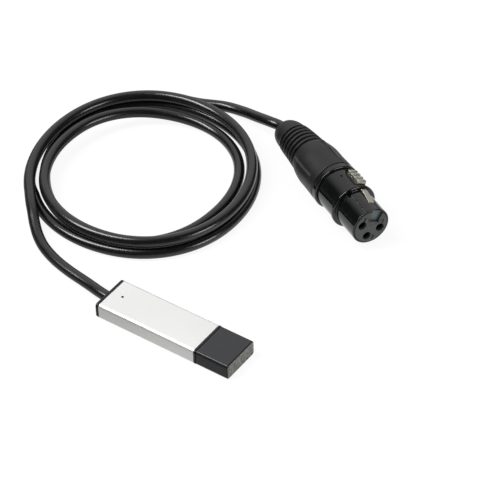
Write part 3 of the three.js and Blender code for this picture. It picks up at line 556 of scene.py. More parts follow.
# Every cutter runs past what it cuts by this much.
overrun = 0.001
rings = [
    section(sleeve_low.x, *outer_size, cut_edge),
    section(sleeve_low.x + cut_edge, *outer_size),
    section(sleeve_high.x - cut_edge, *outer_size),
    section(sleeve_high.x, *outer_size, cut_edge),
    section(sleeve_high.x, *inner_size),
    section(sleeve_low.x, *inner_size),
]
anodised = grained("satin_anodised", "e4e4e3", "ececeb", (0.48, 0.56), 5200, 3e-6, 40, Metallic=1.0)
pinhole_radius = 0.0005
pinhole = Vector((sleeve_low.x + 0.0046, 0.00035))
drill_outline = ring_outline(pinhole, pinhole_radius, 32)
drill = prism("drill", drill_outline, stick_middle, sleeve_high.z + overrun, "z")
sleeve = worked("sleeve", loft("sleeve", rings, closed=True), anodised, cuts=[drill])
# Painted shade: the aluminium wall of the pinhole is coloured near black to stand for the shade inside the
# hole.
pinhole_painted_shade = grained("pinhole_wall_painted_shade", "060606", "0c0c0d", (0.5, 0.65), 5200, 3e-6, 300,
                  Specular_IOR_Level=0.15)


def in_pinhole(face):
    return (face.center.xy - pinhole).length < 1.01 * pinhole_radius and abs(face.normal.z) < 0.5


patched(sleeve, pinhole_painted_shade, in_pinhole)
stands_for(sleeve, "interface", "satin_aluminium", "stick_sleeve")


# Rear end cap, moulded in charcoal plastic. Its flange closes the sleeve, two lugs grip the
# inside of the sleeve and hold the board, and the cord comes out through its middle.
charcoal = grained("charcoal_plastic", "0c0d0e", "131416", (0.26, 0.36), 7000, 3e-6, 260,
                   Specular_IOR_Level=0.3)
rear_low, rear_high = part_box("rear_end_cap")
flange_edge = 0.00025
press_gap = 0.00015
lug_inside, lug_root = 0.0032, 0.0004
lug_size = (inner_size[0] - 2 * press_gap, inner_size[1] - 2 * press_gap, inner_size[2])
rings = [
    section(rear_low.x, *outer_size, flange_edge),
    section(rear_low.x + 0.3 * flange_edge, *outer_size, 0.3 * flange_edge),
    section(rear_low.x + flange_edge, *outer_size),
    section(sleeve_low.x - cut_edge, *outer_size),
    section(sleeve_low.x, *outer_size, cut_edge),
]
past_lugs = rear_high.x + overrun
board_low, board_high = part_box("circuit_board")
board_slot = oblong(board_low.x - press_gap, past_lugs, board_low.z - press_gap, board_high.z + press_gap)
cord_hole = ring_outline(Vector((0, stick_middle)), cord_diameter / 2 + press_gap, 48)
rear_cap = worked(
    "rear_cap",
    loft("rear_cap", rings),
    charcoal,
    joins=[loft("lugs", [section(x, *lug_size) for x in (sleeve_low.x - lug_root, rear_high.x)])],
    cuts=[
        prism("between", oblong(sleeve_low.x, past_lugs, -lug_inside, lug_inside), 0.0, sleeve_height, "z"),
        prism("board_slot", board_slot, -sleeve_width, sleeve_width, "y"),
        prism("cord_hole", cord_hole, rear_low.x - overrun, sleeve_low.x + overrun, "x"),
    ],
)
stands_for(rear_cap, "interface", "charcoal_plastic", "rear_end_cap")


# Front bezel. A thin glossy black rim between sleeve and cap, proud of both by a fifth of a
# millimetre, with lugs inside the sleeve and a window for the plug.
gloss_rim = grained("gloss_rim", "0c0d0e", "141517", (0.08, 0.16), 2500, 1e-6, 120)
bezel_low, bezel_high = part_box("front_bezel")
shell_low, shell_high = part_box("usb_shell")
bezel_size = (bezel_high.y - bezel_low.y, sleeve_height, stick_corner)
rim_edge = 0.0002
rings = []
for side, way, shares in ((sleeve_high.x, 1, (0.0, 0.3, 1.0)), (bezel_high.x, -1, (1.0, 0.3, 0.0))):
    for share in shares:
        rings.append(section(side + way * rim_edge * share, *bezel_size, rim_edge * (1 - share) ** 2))
window = oblong(shell_low.y - press_gap, shell_high.y + press_gap,
                shell_low.z - press_gap, shell_high.z + press_gap)
bezel = worked(
    "bezel",
    loft("bezel", rings),
    gloss_rim,
    joins=[loft("bezel_lugs", [section(x, *lug_size) for x in (bezel_low.x, sleeve_high.x + lug_root)])],
    cuts=[prism("window", window, bezel_low.x - overrun, bezel_high.x + overrun, "x")],
)
stands_for(bezel, "interface", "black_rim", "front_bezel")


# USB cap. It is moulded in charcoal plastic with a fine spark-eroded skin, and is held on the
# plug by friction between the plug's steel and the walls of its cavity. The flat top is
# smoother than the closed end. Both are painted lighter than the sides, the closed end much lighter, as
# painted light.
cap_low, cap_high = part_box("usb_cap")
cap_edge = 0.00045
mouth_edge = 0.0002
cavity_fit = 0.0002
cavity_end = shell_high.x + 0.00035
plug_size = (shell_high.y - shell_low.y, shell_high.z - shell_low.z)
cavity = (plug_size[0] + 2 * cavity_fit, plug_size[1] + 2 * cavity_fit, 0.0004)
cap_size = (cap_high.y - cap_low.y, cap_high.z - cap_low.z, stick_corner)
rings = [
    section(cavity_end, *cavity),
    section(cap_low.x + mouth_edge, *cavity),
    section(cap_low.x, *cavity, -mouth_edge),
]
for share in (0.0, 0.5, 1.0):
    angle = share * math.pi / 2
    x = cap_low.x + mouth_edge * (1 - math.cos(angle))
    rings.append(section(x, *cap_size, mouth_edge * (1 - math.sin(angle))))
for share in (0.0, 0.25, 0.5, 0.75, 1.0):
    angle = share * math.pi / 2
    x = cap_high.x - cap_edge * (1 - math.sin(angle))
    rings.append(section(x, *cap_size, cap_edge * (1 - math.cos(angle))))
cap = worked("cap", loft("cap", rings), charcoal)
# Painted light: the top is tinted lighter than the charcoal sides, and the closed end far lighter, as if lit
# from above and from the right. Their grain and roughness are real.
cap_top_painted_light = grained("cap_top_satin_painted_light", "18191b", "202124", (0.42, 0.55), 6000, 1e-5, 240)
cap_end_painted_light = grained("cap_end_eroded_painted_light", "3a3b38", "787974", (0.6, 0.8), 3600, 4e-5, 900)
flat_face, end_face = 0.99, 0.92
patched(cap, cap_top_painted_light, lambda face: abs(face.normal.z) > flat_face)
patched(cap, cap_end_painted_light, lambda face: face.normal.x > end_face)
stands_for(cap, "cap", "charcoal_plastic", "usb_cap")


# USB plug. Its shell is folded from nickel-plated steel sheet, with two latch windows above
# and two below and a seam underneath. A white tongue inside carries four gold contacts.
def softened(name, node, finish, slot_name, edge):
    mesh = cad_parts[node].data.copy()
    work = bmesh.new()
    work.from_mesh(mesh)
    bmesh.ops.remove_doubles(work, verts=work.verts, dist=1e-6)
    bmesh.ops.dissolve_limit(work, angle_limit=math.radians(0.5), verts=work.verts, edges=work.edges)
    work.to_mesh(mesh)
    work.free()
    piece = worked(name, mesh, finish, edge=edge, edge_steps=2)
    stands_for(piece, "interface", slot_name, node)
    return piece


plated = grained("nickel_plated_steel", "a9abae", "c4c6c9", (0.22, 0.36), 3500, 2e-6, 180,
                 Metallic=1.0)
plug_sheet = 0.0003
sheet_corner = 0.0005
inner_plug = (plug_size[0] - 2 * plug_sheet, plug_size[1] - 2 * plug_sheet, sheet_corner - plug_sheet / 2)
lead_in, lead_inset = 0.0004, 0.00012
rings = [
    section(shell_low.x, *plug_size, sheet_corner),
    section(shell_high.x - lead_in, *plug_size, sheet_corner),
    section(shell_high.x, *plug_size, sheet_corner, lead_inset),
    section(shell_high.x, *inner_plug, 0.0001),
    section(shell_high.x - lead_in, *inner_plug),
    section(shell_low.x, *inner_plug),
]
window_front = shell_high.x - 0.0052
window_length, window_width, window_corner, window_spacing = 0.0025, 0.0021, 0.0002, 0.0057
windows = []
for side in (-1, 1):
    y = side * window_spacing / 2
    corners = oblong(window_front - window_length, window_front,
                     y - window_width / 2, y + window_width / 2, window_corner)
    windows.append(prism("windows", rounded(corners), 0.0, sleeve_height, "z"))
seam_half = 0.00008
seam = oblong(shell_low.x - overrun, shell_high.x + overrun, -seam_half, seam_half)
plug_shell = worked(
    "plug_shell",
    loft("plug_shell", rings, closed=True),
    plated,
    cuts=[*windows, prism("seam", seam, 0.0, shell_low.z + 1.5 * plug_sheet, "z")],
)
stands_for(plug_shell, "interface", "plated_steel", "usb_shell")

tongue_white = grained("tongue_white", "dcdcd8", "ebebe8", (0.35, 0.5), 4000, 3e-6, 300)
softened("tongue", "usb_tongue", tongue_white, "white_plastic", 0.00008)
gold_flash = grained("gold_flash", "c09a3f", "d8b65e", (0.22, 0.36), 5000, 2e-6, 500, Metallic=1.0)
for i in range(1, 5):
    softened(f"plug_contact_{i}", f"usb_contact_{i}", gold_flash, "gold_plating", 0.00004)


# Circuit board. Green solder mask over glass laminate, with the interface chip, the line
# driver, the status light, two capacitors and a fuse soldered along its top. A pipe painted
# near black as the shade seen in the pinhole carries the light up to it, and three insulated wires come from
# the cord.
board_mask = grained("solder_mask", "14502a", "1f6e3c", (0.25, 0.4), 1400, 1e-5, 600)
softened("board", "circuit_board", board_mask, "board_green", 0.00005)

epoxy = grained("chip_epoxy", "191a1c", "26272a", (0.5, 0.66), 9000, 4e-6, 700)
tinned = grained("tinned_leg", "9a9c9f", "b9bbbd", (0.25, 0.4), 6000, 2e-6, 900, Metallic=1.0)
board_top = board_high.z
solder_gap, chip_lift = 0.00005, 0.00015
leg_width, leg_sheet, leg_reach, leg_bend = 0.0003, 0.0002, 0.0009, 0.00012
dimple_inset, dimple_radius, dimple_depth = 0.0007, 0.00035, 0.00006

# One leg is copied along a line, and the row is turned round to the chip's other side.
leg_tree, given = new_group(
    "leg_rows",
    "GeometryNodeTree",
    {"Leg": "Geometry", "Count": "Int", "First": "Vector", "Step": "Vector", "Finish": "Material"},
    {"Legs": "Geometry"},
)
line_levels = {"Count": given["Count"], "Start Location": given["First"], "Offset": given["Step"]}
line = add_node(leg_tree, "GeometryNodeMeshLine", line_levels)[0]
row = add_node(leg_tree, "GeometryNodeInstanceOnPoints", {"Points": line, "Instance": given["Leg"]})[0]
opposite = add_node(leg_tree, "GeometryNodeTransform", {"Geometry": row, "Rotation": (0, 0, math.pi)})[0]
both_rows = add_node(leg_tree, "GeometryNodeJoinGeometry", {0: row})[0]
leg_tree.links.new(opposite, both_rows.node.inputs[0])


# Ends a group: its copies become real geometry and take the finish.
def end_growth(tree, given, grown_parts):
    real = add_node(tree, "GeometryNodeRealizeInstances", {0: grown_parts})[0]
    painted = add_node(tree, "GeometryNodeSetMaterial", {"Geometry": real, "Material": given["Finish"]})[0]
    add_node(tree, "NodeGroupOutput", {0: painted})


end_growth(leg_tree, given, both_rows)


def grown(name, seed, tree, values):
    holder = linked(name, seed)
    growth = holder.modifiers.new(name, "NODES")
    growth.node_group = tree
    for entry in tree.interface.items_tree:
        if entry.in_out == "INPUT" and entry.name in values:
            growth[entry.identifier] = values[entry.name]
    mesh = evaluated_mesh(holder)
    bpy.data.objects.remove(holder)
    mesh.name = name
    return mesh


chips = {"interface_chip": (14, 0.00065, 0.00175), "line_driver_chip": (4, 0.00127, 0.0015)}
for node, (legs_per_side, pitch, height) in chips.items():
    low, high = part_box(node)
    foot = board_top + solder_gap
    half_width = (high.y - low.y) / 2 - leg_reach
    middle = (low + high) / 2
    chip_top = foot + height
    at_chip = Matrix.Translation((0, middle.y, 0))
    dimple_place = Vector((low.x + dimple_inset, dimple_inset - half_width))
    dimple = prism("dimple", ring_outline(dimple_place, dimple_radius, 24),
                   chip_top - dimple_depth, chip_top + overrun, "z", at_chip)
    chip_plan = oblong(low.x, high.x, -half_width, half_width)
    body = prism("chip", chip_plan, foot + chip_lift, chip_top, "z", at_chip)
    chip = worked(f"{node}_body", body, epoxy, cuts=[dimple], edge=0.00008, edge_steps=2)
    stands_for(chip, "interface", "chip_black", node)
    shoulder = half_width + leg_reach / 2
    leg_level = foot + height / 2
    leg_view = rounded([
        (half_width - leg_sheet, leg_level), (shoulder - leg_sheet, leg_level, leg_bend),
        (shoulder - leg_sheet, foot, leg_bend), (half_width + leg_reach, foot),
        (half_width + leg_reach, foot + leg_sheet), (shoulder, foot + leg_sheet, leg_bend),
        (shoulder, leg_level + leg_sheet, leg_bend), (half_width - leg_sheet, leg_level + leg_sheet),
    ], steps=3)
    leg = prism("leg", leg_view, -leg_width / 2, leg_width / 2, "x")
    row_sizes = {"Count": legs_per_side, "First": ((1 - legs_per_side) / 2 * pitch, 0, 0),
                 "Step": (pitch, 0, 0), "Finish": tinned}
    rows = grown(f"{node}_legs", leg, leg_tree, row_sizes)
    rows.transform(Matrix.Translation((middle.x, middle.y, 0)))
    legs = finished(f"{node}_legs", rows, tinned)
    stands_for(legs, "interface", "plated_steel", node)

lens_clear = grained("lens_clear", "dfe6dc", "eff4ec", (0.12, 0.3), 2000, 4e-6, 800)
softened("status_lamp", "status_led", lens_clear, "clear_plastic", 0.00006)
# Painted shade: the light pipe is coloured near black so that the pinhole above it reads as shade.
pipe_painted_shade = grained("light_pipe_painted_shade", "040404", "0a0a0b", (0.5, 0.7), 2600, 4e-6, 900,
                     Specular_IOR_Level=0.15)
softened("light_guide", "light_pipe", pipe_painted_shade, "clear_plastic", 0.00004)
fired = grained("fired_ceramic", "9a8158", "b79c6f", (0.35, 0.5), 4500, 3e-6, 900)
terminal = 0.0004
for i in (1, 2):
    capacitor = softened(f"chip_capacitor_{i}", f"capacitor_{i}", fired, "ceramic_tan", 0.00008)
    low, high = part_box(f"capacitor_{i}")
    reach = (high.y - low.y) / 2 - terminal
    middle = (high.y + low.y) / 2
    patched(capacitor, tinned, lambda face: abs(face.center.y - middle) > reach)
softened("resettable_fuse", "fuse", board_mask, "board_green", 0.00008)

wire_tints = {"red": ("9c1f18", "b92f24"), "black": ("17181b", "26272b"), "white": ("cfcabf", "e4e0d6")}
for i, (colour, tints) in enumerate(wire_tints.items(), 1):
    wire_finish = grained(f"wire_{colour}_skin", *tints, (0.35, 0.5), 2500, 3e-6, 400)
    for end in ("stick", "connector"):
        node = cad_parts[f"{end}_wire_{i}"]
        node.data.materials.clear()
        node.data.materials.append(wire_finish)


# Connector shell. Diecast zinc with a thick gloss black coat: a nose that plugs in, a collar,
# and a barrel with a slot for the latch and a keyway in the nose.
nose_length, nose_radius = 0.0122, 0.00755
collar_end, collar_radius = 0.0138, 0.00905
barrel_end, barrel_radius = 0.0248, 0.0085
stub_end, stub_radius = 0.0343, 0.0077
bore_radius = 0.0069
nose_round = 0.0004
collar_round = 0.0006
inner_round = 0.00025
shell_profile = rounded(
    [
        (0.0, bore_radius, 0.0001),
        (0.0, nose_radius, nose_round),
        (nose_length, nose_radius, inner_round),
        (nose_length, collar_radius, collar_round),
        (collar_end, collar_radius, collar_round),
        (collar_end, barrel_radius, inner_round),
        (barrel_end, barrel_radius, inner_round),
        (barrel_end, stub_radius),
        (stub_end, stub_radius, inner_round),
        (stub_end, bore_radius, inner_round),
    ]
)
pin_station, pin_height, pin_radius = 0.0212, 0.0069, 0.0006
latch_half, tooth_half, latch_tip_half = 0.0021, 0.0013, 0.0006
latch_gap = 0.0003
latch_front, slot_rear = 0.0046, 0.0242
slot_tip_half = 0.0009
slot_floor, pocket_top, slot_top = 0.0054, 0.0082, 0.012


def arm_plan(front, half, tip_half, rear, fillet):
    return [(front, -half, fillet), (pin_station, -half, 0.0004), (rear, -tip_half, 0.0003),
            (rear, tip_half, 0.0003), (pin_station, half, 0.0004), (front, half, fillet)]


def latch_plan(front, narrow_half, shoulder, half, tip_half, rear, fillet):
    ends = [(front, -narrow_half, fillet), (shoulder, -narrow_half, 0.0002)]
    return rounded(ends + arm_plan(shoulder, half, tip_half, rear, fillet)
                   + [(shoulder, narrow_half, 0.0002), (front, narrow_half, fillet)])


pocket_plan = latch_plan(latch_front - latch_gap, tooth_half + latch_gap, nose_length, latch_half + latch_gap,
                         slot_tip_half, slot_rear, 0.0002)
pocket = prism("pocket", pocket_plan, slot_floor, pocket_top, "z", connector)
slot_plan = rounded(arm_plan(collar_end, latch_half + latch_gap, slot_tip_half, slot_rear, 0.00001))
slot_cut = prism("slot", slot_plan, slot_floor, slot_top, "z", connector)
keyway_half, keyway_floor = 0.00065, nose_radius - 0.0004
at_keyway = connector @ Matrix.Rotation(math.radians(-44.5), 4, "X")
keyway_outline = rounded([
    (-keyway_half, keyway_floor, 0.0001), (keyway_half, keyway_floor, 0.0001),
    (keyway_half, collar_radius), (-keyway_half, collar_radius),
])
keyway = prism("keyway", keyway_outline, -overrun, nose_length, "x", at_keyway)
pin_hole_radius, pin_hole_reach, pin_hole_steps = 0.00075, 0.00425, 24
pin_hole = []
for k in range(pin_hole_steps):
    turn = k * math.tau / pin_hole_steps
    step_along, step_up = pin_hole_radius * math.cos(turn), pin_hole_radius * math.sin(turn)
    pin_hole.append((pin_station + step_along, pin_height + step_up))
gloss_black = grained("gloss_black_coat", "050606", "0b0c0c", (0.06, 0.1), 1100, 8e-7, 150)
connector_body = worked(
    "connector_body",
    turned("connector_body", shell_profile, connector),
    gloss_black,
    cuts=[
        pocket,
        slot_cut,
        keyway,
        prism("pin_hole", pin_hole, -pin_hole_reach, pin_hole_reach, "y", connector),
    ],
    edge=0.00008,
    edge_steps=2,
    edge_angle=50.0,
)
stands_for(connector_body, "interface", "black_paint", "connector_shell")


# Insert. A dark grey moulding pressed into the shell. Its face has a recess towards the
# latch, three contact holes with their numbers beside them, and a channel behind the latch.
# Each hole holds a socket contact turned from brass and flashed with gold, painted near black as the shade
# deep in its hole.
insert_front, insert_end, insert_radius = -0.0003, 0.022, 0.00675
face_round = 0.00025
insert_profile = rounded([(insert_front, 0.0), (insert_front, insert_radius, face_round),
                          (insert_end, insert_radius), (insert_end, 0.0)], closed=False)
recess_floor, recess_top, recess_depth = 0.0022, 0.0077, 0.0012
recess_floor_half, recess_top_half = 0.0021, 0.0024
recess_outline = [(-recess_floor_half, recess_floor), (recess_floor_half, recess_floor),
                  (recess_top_half, recess_top), (-recess_top_half, recess_top)]
recess = prism("recess", recess_outline, insert_front - overrun, insert_front + recess_depth, "x", connector)
channel_half, channel_floor = latch_half + latch_gap, 0.003
channel_outline = oblong(-channel_half, channel_half, channel_floor, recess_top)
channel = prism("channel", channel_outline, latch_front - 2 * latch_gap, insert_end + overrun, "x", connector)
contact_circle, hole_radius = 0.0041, 0.00165
contact_places = [contact_circle * Vector(way) for way in ((-1, 0), (1, 0), (0, -1))]
contact_holes = []
for place in contact_places:
    hole = ring_outline(place, hole_radius)
    contact_holes.append(prism("hole", hole, insert_front - overrun, insert_end + overrun, "x", connector))
insert_finish = grained("insert_grey", "2d302f", "3c3f3e", (0.5, 0.65), 5200, 6e-6, 300)
recess_finish = grained("recess_grey", "414c4f", "4c585b", (0.4, 0.5), 5200, 4e-6, 300)
face_insert = worked(
    "face_insert",
    turned("face_insert", insert_profile, connector, closed=False),
    insert_finish,
    cuts=[recess, channel, *contact_holes],
    edge=0.0001,
    edge_angle=40.0,
)
from_face = connector.inverted()


def in_recess(face):
    depth = (from_face @ face.center).x - insert_front
    return abs(depth - recess_depth) < 0.05 * recess_depth


patched(face_insert, recess_finish, in_recess)
stands_for(face_insert, "interface", "insert_grey", "connector_insert")

numeral_height, numeral_proud = 0.0017, 0.00004
capital_share, numeral_bold = 0.7, 0.04
numeral_places = {"1": (-0.0041, 0.00275), "2": (0.00428, 0.00252), "3": (-0.00263, -0.00441)}
# Painted shade: the numbers stand a little proud and are coloured near black to stand for the shade in
# numbers moulded into the face.
numeral_painted_shade = grained("numeral_moulded_painted_shade", "030303", "060606", (0.6, 0.75), 6000, 3e-6, 600,
                      Specular_IOR_Level=0.1)
numerals = bmesh.new()
face_on = Matrix(((0, 0, -1, insert_front), (-1, 0, 0, 0), (0, 1, 0, 0), (0, 0, 0, 1)))
for figure, (y, z) in numeral_places.items():
    words = bpy.data.curves.new("figure", "FONT")
    words.body = figure
    words.size = 1 / capital_share
    words.align_x, words.align_y = "CENTER", "CENTER"
    words.extrude = numeral_proud / numeral_height
    words.offset = numeral_bold
    holder = linked("figure", words)
    drawn = evaluated_mesh(holder)
    bpy.data.objects.remove(holder)
    drawn.transform(connector @ Matrix.Translation((0, y, z)) @ face_on @ Matrix.Scale(numeral_height, 4))
    numerals.from_mesh(drawn)
bmesh.ops.remove_doubles(numerals, verts=numerals.verts, dist=1e-7)
bmesh.ops.recalc_face_normals(numerals, faces=numerals.faces)
numeral_mesh = bpy.data.meshes.new("contact_numerals")
numerals.to_mesh(numeral_mesh)
numerals.free()
contact_numerals = finished("contact_numerals", numeral_mesh, numeral_painted_shade)
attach(contact_numerals, "interface")

socket_front, socket_bore_end, socket_end, socket_tail_end = 0.0005, 0.0135, 0.0195, 0.026
socket_bore, socket_radius, socket_tail = 0.0012, 0.0015, 0.0011
# Painted shade: the gold is coloured near black to stand for the shade deep in the holes.
gold_painted_shade = grained("gold_contact_painted_shade", "15110a", "231c10", (0.4, 0.55), 5000, 2e-6, 500, Metallic=1.0)
sockets = []
for i, place in enumerate(contact_places, 1):
    contact_profile = rounded([
        (socket_bore_end, 0.0), (socket_bore_end, socket_bore), (socket_front, socket_bore, 0.0001),
        (socket_front, socket_radius, 0.00015), (socket_end, socket_radius, 0.0001),
        (socket_end, socket_tail), (socket_tail_end, socket_tail, 0.0002), (socket_tail_end, 0.0),
    ], closed=False)
    centred = connector @ Matrix.Translation((0, place.x, place.y))
    turning = turned("socket", contact_profile, centred, 48, closed=False)
    socket_piece = worked(f"socket_{i}", turning, gold_painted_shade)
    stands_for(socket_piece, "interface", "gold_plating", f"socket_contact_{i}")
    sockets.append(socket_piece)


# Coding ring. A loose ring of glossy moulded plastic, slipped over the shell's stub. The boot
# holds it against the barrel.
ring_front, ring_end, ring_radius, ring_bore = 0.0249, 0.0275, 0.0094, 0.00785
ring_profile = rounded([(ring_front, ring_bore, 0.0001), (ring_front, ring_radius, 0.0005),
                        (ring_end, ring_radius, 0.0005), (ring_end, ring_bore, 0.0001)])
ring_piece = worked("gloss_ring", turned("gloss_ring", ring_profile, connector), gloss_rim)
stands_for(ring_piece, "interface", "black_rim", "coding_ring")


# Chuck. A slotted cone of white moulded plastic round the cord. The boot squeezes it onto the
# cord as it is screwed home.
chuck = softened("chuck", "cord_chuck", tongue_white, "white_plastic", 0.0001)


# Boot. One charcoal moulding that screws over the shell's stub: a smooth grip that narrows,
# six grooves that let it bend, a rounded mouth, and four slim ridges to grip it by, smoother
# than the rest and painted lighter as their highlights. Its tip hangs a little.
grip_front, grip_start, front_radius, grip_radius = 0.0276, 0.034, 0.00935, 0.0091
taper_start, taper_end = 0.0377, 0.0454
ribbed_front_radius, ribbed_rear_radius = 0.0078, 0.0066
first_groove, groove_pitch, groove_count = 0.0456, 0.00222, 6
groove_width, groove_depth, groove_slope, groove_round = 0.00105, 0.0011, 0.0001, 0.0002
dome_start, dome_radius, mouth_end, mouth_radius = 0.0589, 0.0062, 0.0668, 0.0028
thread_radius, thread_end = 0.00785, 0.0346
chuck_room_start, chuck_room_end, chuck_room_radius = 0.036, 0.0453, 0.00345
cord_way = 0.0024


def grip_at(station):
    taper_share = max(0.0, (station - taper_start) / (taper_end - taper_start))
    flare_share = max(0.0, (grip_start - station) / (grip_start - grip_front))
    narrowing = (grip_radius - ribbed_front_radius) * taper_share ** 2
    return grip_radius - narrowing + (front_radius - grip_radius) * flare_share


def ribbed_at(station):
    share = (station - first_groove) / (groove_count * groove_pitch)
    return ribbed_front_radius + (ribbed_rear_radius - ribbed_front_radius) * share


outline = [(grip_front, thread_radius), (grip_front, grip_at(grip_front), 0.0006), (grip_start, grip_radius)]
taper_steps = 18
for k in range(taper_steps + 1):
    station = taper_start + (taper_end - taper_start) * k / taper_steps
    outline.append((station, grip_at(station)))
for i in range(groove_count):
    start = first_groove + i * groove_pitch
    end = start + groove_width
    floor_radius = ribbed_at(start) - groove_depth
    outline += [(start, ribbed_at(start), groove_round), (start + groove_slope, floor_radius, groove_round),
                (end - groove_slope, floor_radius, groove_round), (end, ribbed_at(end), groove_round)]
dome_steps = 16
for k in range(dome_steps):
    turn = math.pi / 2 * k / dome_steps
    station = dome_start + (mouth_end - dome_start) * math.sin(turn)
    outline.append((station, mouth_radius + (dome_radius - mouth_radius) * math.cos(turn)))
outline += [(mouth_end, mouth_radius, 0.0003), (mouth_end, cord_way, 0.0002), (chuck_room_end, cord_way),
            (chuck_room_end, chuck_room_radius), (chuck_room_start, bore_radius), (thread_end, thread_radius)]
ridge_half, ridge_proud, ridge_root = 0.0005, 0.00055, 0.0008
ridge_front, ridge_rear = 0.031, 0.0439
ridge_outline = [
    (ridge_front, grip_at(ridge_front) - ridge_root),
    (ridge_rear, grip_at(ridge_rear) - ridge_root),
    (ridge_rear, grip_at(ridge_rear) + ridge_proud, 0.00025),
    (taper_start, grip_at(taper_start) + 0.6 * ridge_proud),
    (ridge_front, grip_at(ridge_front) + 0.1 * ridge_proud),
]
around, given = new_group(
    "ridges_round_the_boot",
    "GeometryNodeTree",
    {"Ridge": "Geometry", "Count": "Int", "First turn": "Float", "Finish": "Material"},
    {"Ridges": "Geometry"},
)
spots = add_node(around, "GeometryNodePoints", {"Count": given["Count"]})[0]
index = add_node(around, "GeometryNodeInputIndex")[0]
turn_step = add_node(around, "ShaderNodeMath", {0: math.tau, 1: given["Count"]}, operation="DIVIDE")[0]
turn_levels = {0: index, 1: turn_step, 2: given["First turn"]}
turn_by = add_node(around, "ShaderNodeMath", turn_levels, operation="MULTIPLY_ADD")[0]
facing = add_node(around, "ShaderNodeCombineXYZ", {"X": turn_by})[0]
copy_levels = {"Points": spots, "Instance": given["Ridge"], "Rotation": facing}
end_growth(around, given, add_node(around, "GeometryNodeInstanceOnPoints", copy_levels)[0])
ridge = prism("ridge", rounded(ridge_outline), -ridge_half, ridge_half, "y")
ridge_count, first_turn = 4, math.radians(3)
ridge_sizes = {"Count": ridge_count, "First turn": first_turn, "Finish": charcoal}
ridges = grown("ridges", ridge, around, ridge_sizes)
ridges.transform(connector)
boot_finish = grained("boot_charcoal", "0e0f0f", "171817", (0.4, 0.52), 6000, 1e-5, 220,
                      Specular_IOR_Level=0.4)
boot_body = turned("boot_moulding", rounded(outline, steps=4), connector)
boot = worked("boot_moulding", boot_body, boot_finish, joins=[ridges], edge=0.00006, edge_angle=40.0)
# Painted highlight: the ridges are tinted lighter than the boot to stand for the light lines along them.
# Their lower roughness is real.
ridge_painted_highlight = grained("ridge_smooth_painted_highlight", "303131", "3c3d3d", (0.18, 0.28), 6000, 4e-6, 220)
clear_of_grip, clear_of_end = 0.00008, 0.0003


def on_ridge(face):
    place = from_face @ face.center
    along_ridge = ridge_front < place.x < ridge_rear + clear_of_end
    return along_ridge and place.yz.length > grip_at(place.x) + clear_of_grip


patched(boot, ridge_painted_highlight, on_ridge)
from_boot = yawed.inverted()
for vertex in boot.data.vertices:
    vertex.co.z -= tip_drop((from_boot @ vertex.co).x)
stands_for(boot, "interface", "charcoal_plastic", "boot")


# Latch. A nickel-plated zinc lever on a steel pin: a tooth in the nose that holds the mating
# plug, an arm under the collar, and a thumb plate of four rounded steps. A small steel spring
# lifts it.
satin_nickel = grained("satin_nickel", "b3b0a3", "cfccbf", (0.2, 0.34), 2400, 4e-6, 260,
                       Metallic=1.0)
latch_under, arm_top = 0.0057, 0.0079
ramp_start, ramp_length, tooth_top = 0.0072, 0.0059, 0.0083
thumb_start, thumb_pitch, thumb_steps = collar_end + latch_gap, 0.00205, 4
thumb_valley, thumb_crest = 0.0093, 0.0102
latch_rear = slot_rear - latch_gap
side_view = [(latch_front, latch_under), (latch_front, ramp_start, 0.0002),
             (latch_front + ramp_length, tooth_top, 0.0003), (nose_length - latch_gap, tooth_top, 0.00015),
             (nose_length - latch_gap, arm_top), (thumb_start, arm_top)]
for i in range(thumb_steps):
    start = thumb_start + i * thumb_pitch
    side_view += [(start, thumb_valley, 0.0001), (start + 0.18 * thumb_pitch, thumb_crest, 0.0003),
                  (start + 0.72 * thumb_pitch, thumb_crest, 0.0004)]
side_view += [(thumb_start + thumb_steps * thumb_pitch, thumb_valley, 0.0002), (latch_rear, arm_top, 0.0002),
              (latch_rear, latch_under)]
lever_outline = latch_plan(latch_front, tooth_half, nose_length + latch_gap, latch_half, latch_tip_half,
                           latch_rear, 0.0002)
lever_low, lever_high = 0.004, 0.011
lever_plan = prism("plan", lever_outline, lever_low, lever_high, "z", connector)
lever_blank, lever_hole_reach = 0.0035, 0.005
lever = worked(
    "latch_blade",
    prism("latch_blade", rounded(side_view), -lever_blank, lever_blank, "y", connector),
    satin_nickel,
    keeps=[lever_plan],
    cuts=[prism("lever_hole", pin_hole, -lever_hole_reach, lever_hole_reach, "y", connector)],
    edge=0.00015,
    edge_angle=50.0,
)
stands_for(lever, "latch", "nickel", "latch_lever")

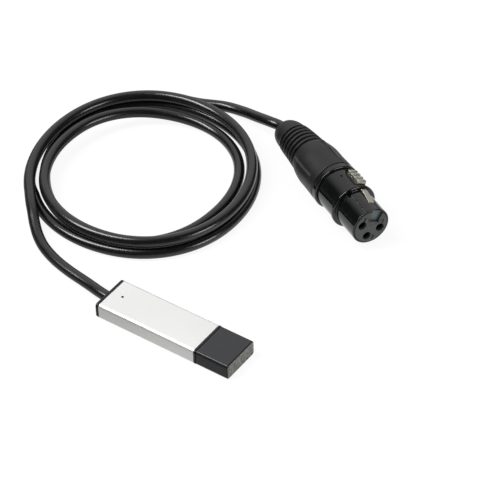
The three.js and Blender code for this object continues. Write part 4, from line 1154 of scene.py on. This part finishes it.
pin_half = 0.0041
pin_profile = rounded([(-pin_half, 0.0), (-pin_half, pin_radius, 0.0001), (pin_half, pin_radius, 0.0001),
                       (pin_half, 0.0)], closed=False)
at_pin = connector @ Matrix.Translation((pin_station, 0, pin_height))
across_pin = at_pin @ Matrix.Rotation(math.pi / 2, 4, "Z")
pin_finish = grained("painted_pin", "050606", "0b0c0c", (0.1, 0.16), 3500, 1e-6, 400)
pin = worked("latch_axle", turned("latch_axle", pin_profile, across_pin, 32, closed=False), pin_finish)
stands_for(pin, "interface", "plated_steel", "latch_pin")

spring_finish = grained("spring_steel", "7d7f82", "9a9ca0", (0.25, 0.4), 5000, 1e-6, 700,
                        Metallic=1.0)
spring_station, spring_radius, spring_wire, spring_turns = 0.012, 0.0013, 0.0004, 3.0
spring_gap = 0.0005
spring_low, spring_high = channel_floor + spring_gap, latch_under - spring_gap
winding, given = new_group(
    "spring_winding",
    "GeometryNodeTree",
    {"Geometry": "Geometry", "Radius": "Float", "Height": "Float", "Turns": "Float",
     "Wire radius": "Float", "Finish": "Material"},
    {"Spring": "Geometry"},
)
spiral_levels = {"Resolution": 32, "Rotations": given["Turns"], "Start Radius": given["Radius"],
                 "End Radius": given["Radius"], "Height": given["Height"]}
spiral = add_node(winding, "GeometryNodeCurveSpiral", spiral_levels)[0]
ring_levels = {"Resolution": 12, "Radius": given["Wire radius"]}
wire_ring = add_node(winding, "GeometryNodeCurvePrimitiveCircle", ring_levels)[0]
drawn_levels = {"Curve": spiral, "Profile Curve": wire_ring, "Fill Caps": True}
end_growth(winding, given, add_node(winding, "GeometryNodeCurveToMesh", drawn_levels)[0])
spring_sizes = {"Radius": spring_radius, "Height": spring_high - spring_low, "Turns": spring_turns,
                "Wire radius": spring_wire / 2, "Finish": spring_finish}
spring_mesh = grown("spring_coil", bpy.data.meshes.new("spring_seed"), winding, spring_sizes)
spring_mesh.transform(connector @ Matrix.Translation((spring_station, 0, spring_low)))
spring = finished("latch_coil_spring", spring_mesh, spring_finish, 60.0)
stands_for(spring, "interface", "plated_steel", "latch_spring")
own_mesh(spring)


# The pieces that the cord carries on its far end.
carried = [connector_body, face_insert, contact_numerals, ring_piece, chuck, boot, lever, pin, spring]
carried += sockets
carried += [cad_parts[f"connector_wire_{i}"] for i in (1, 2, 3)]
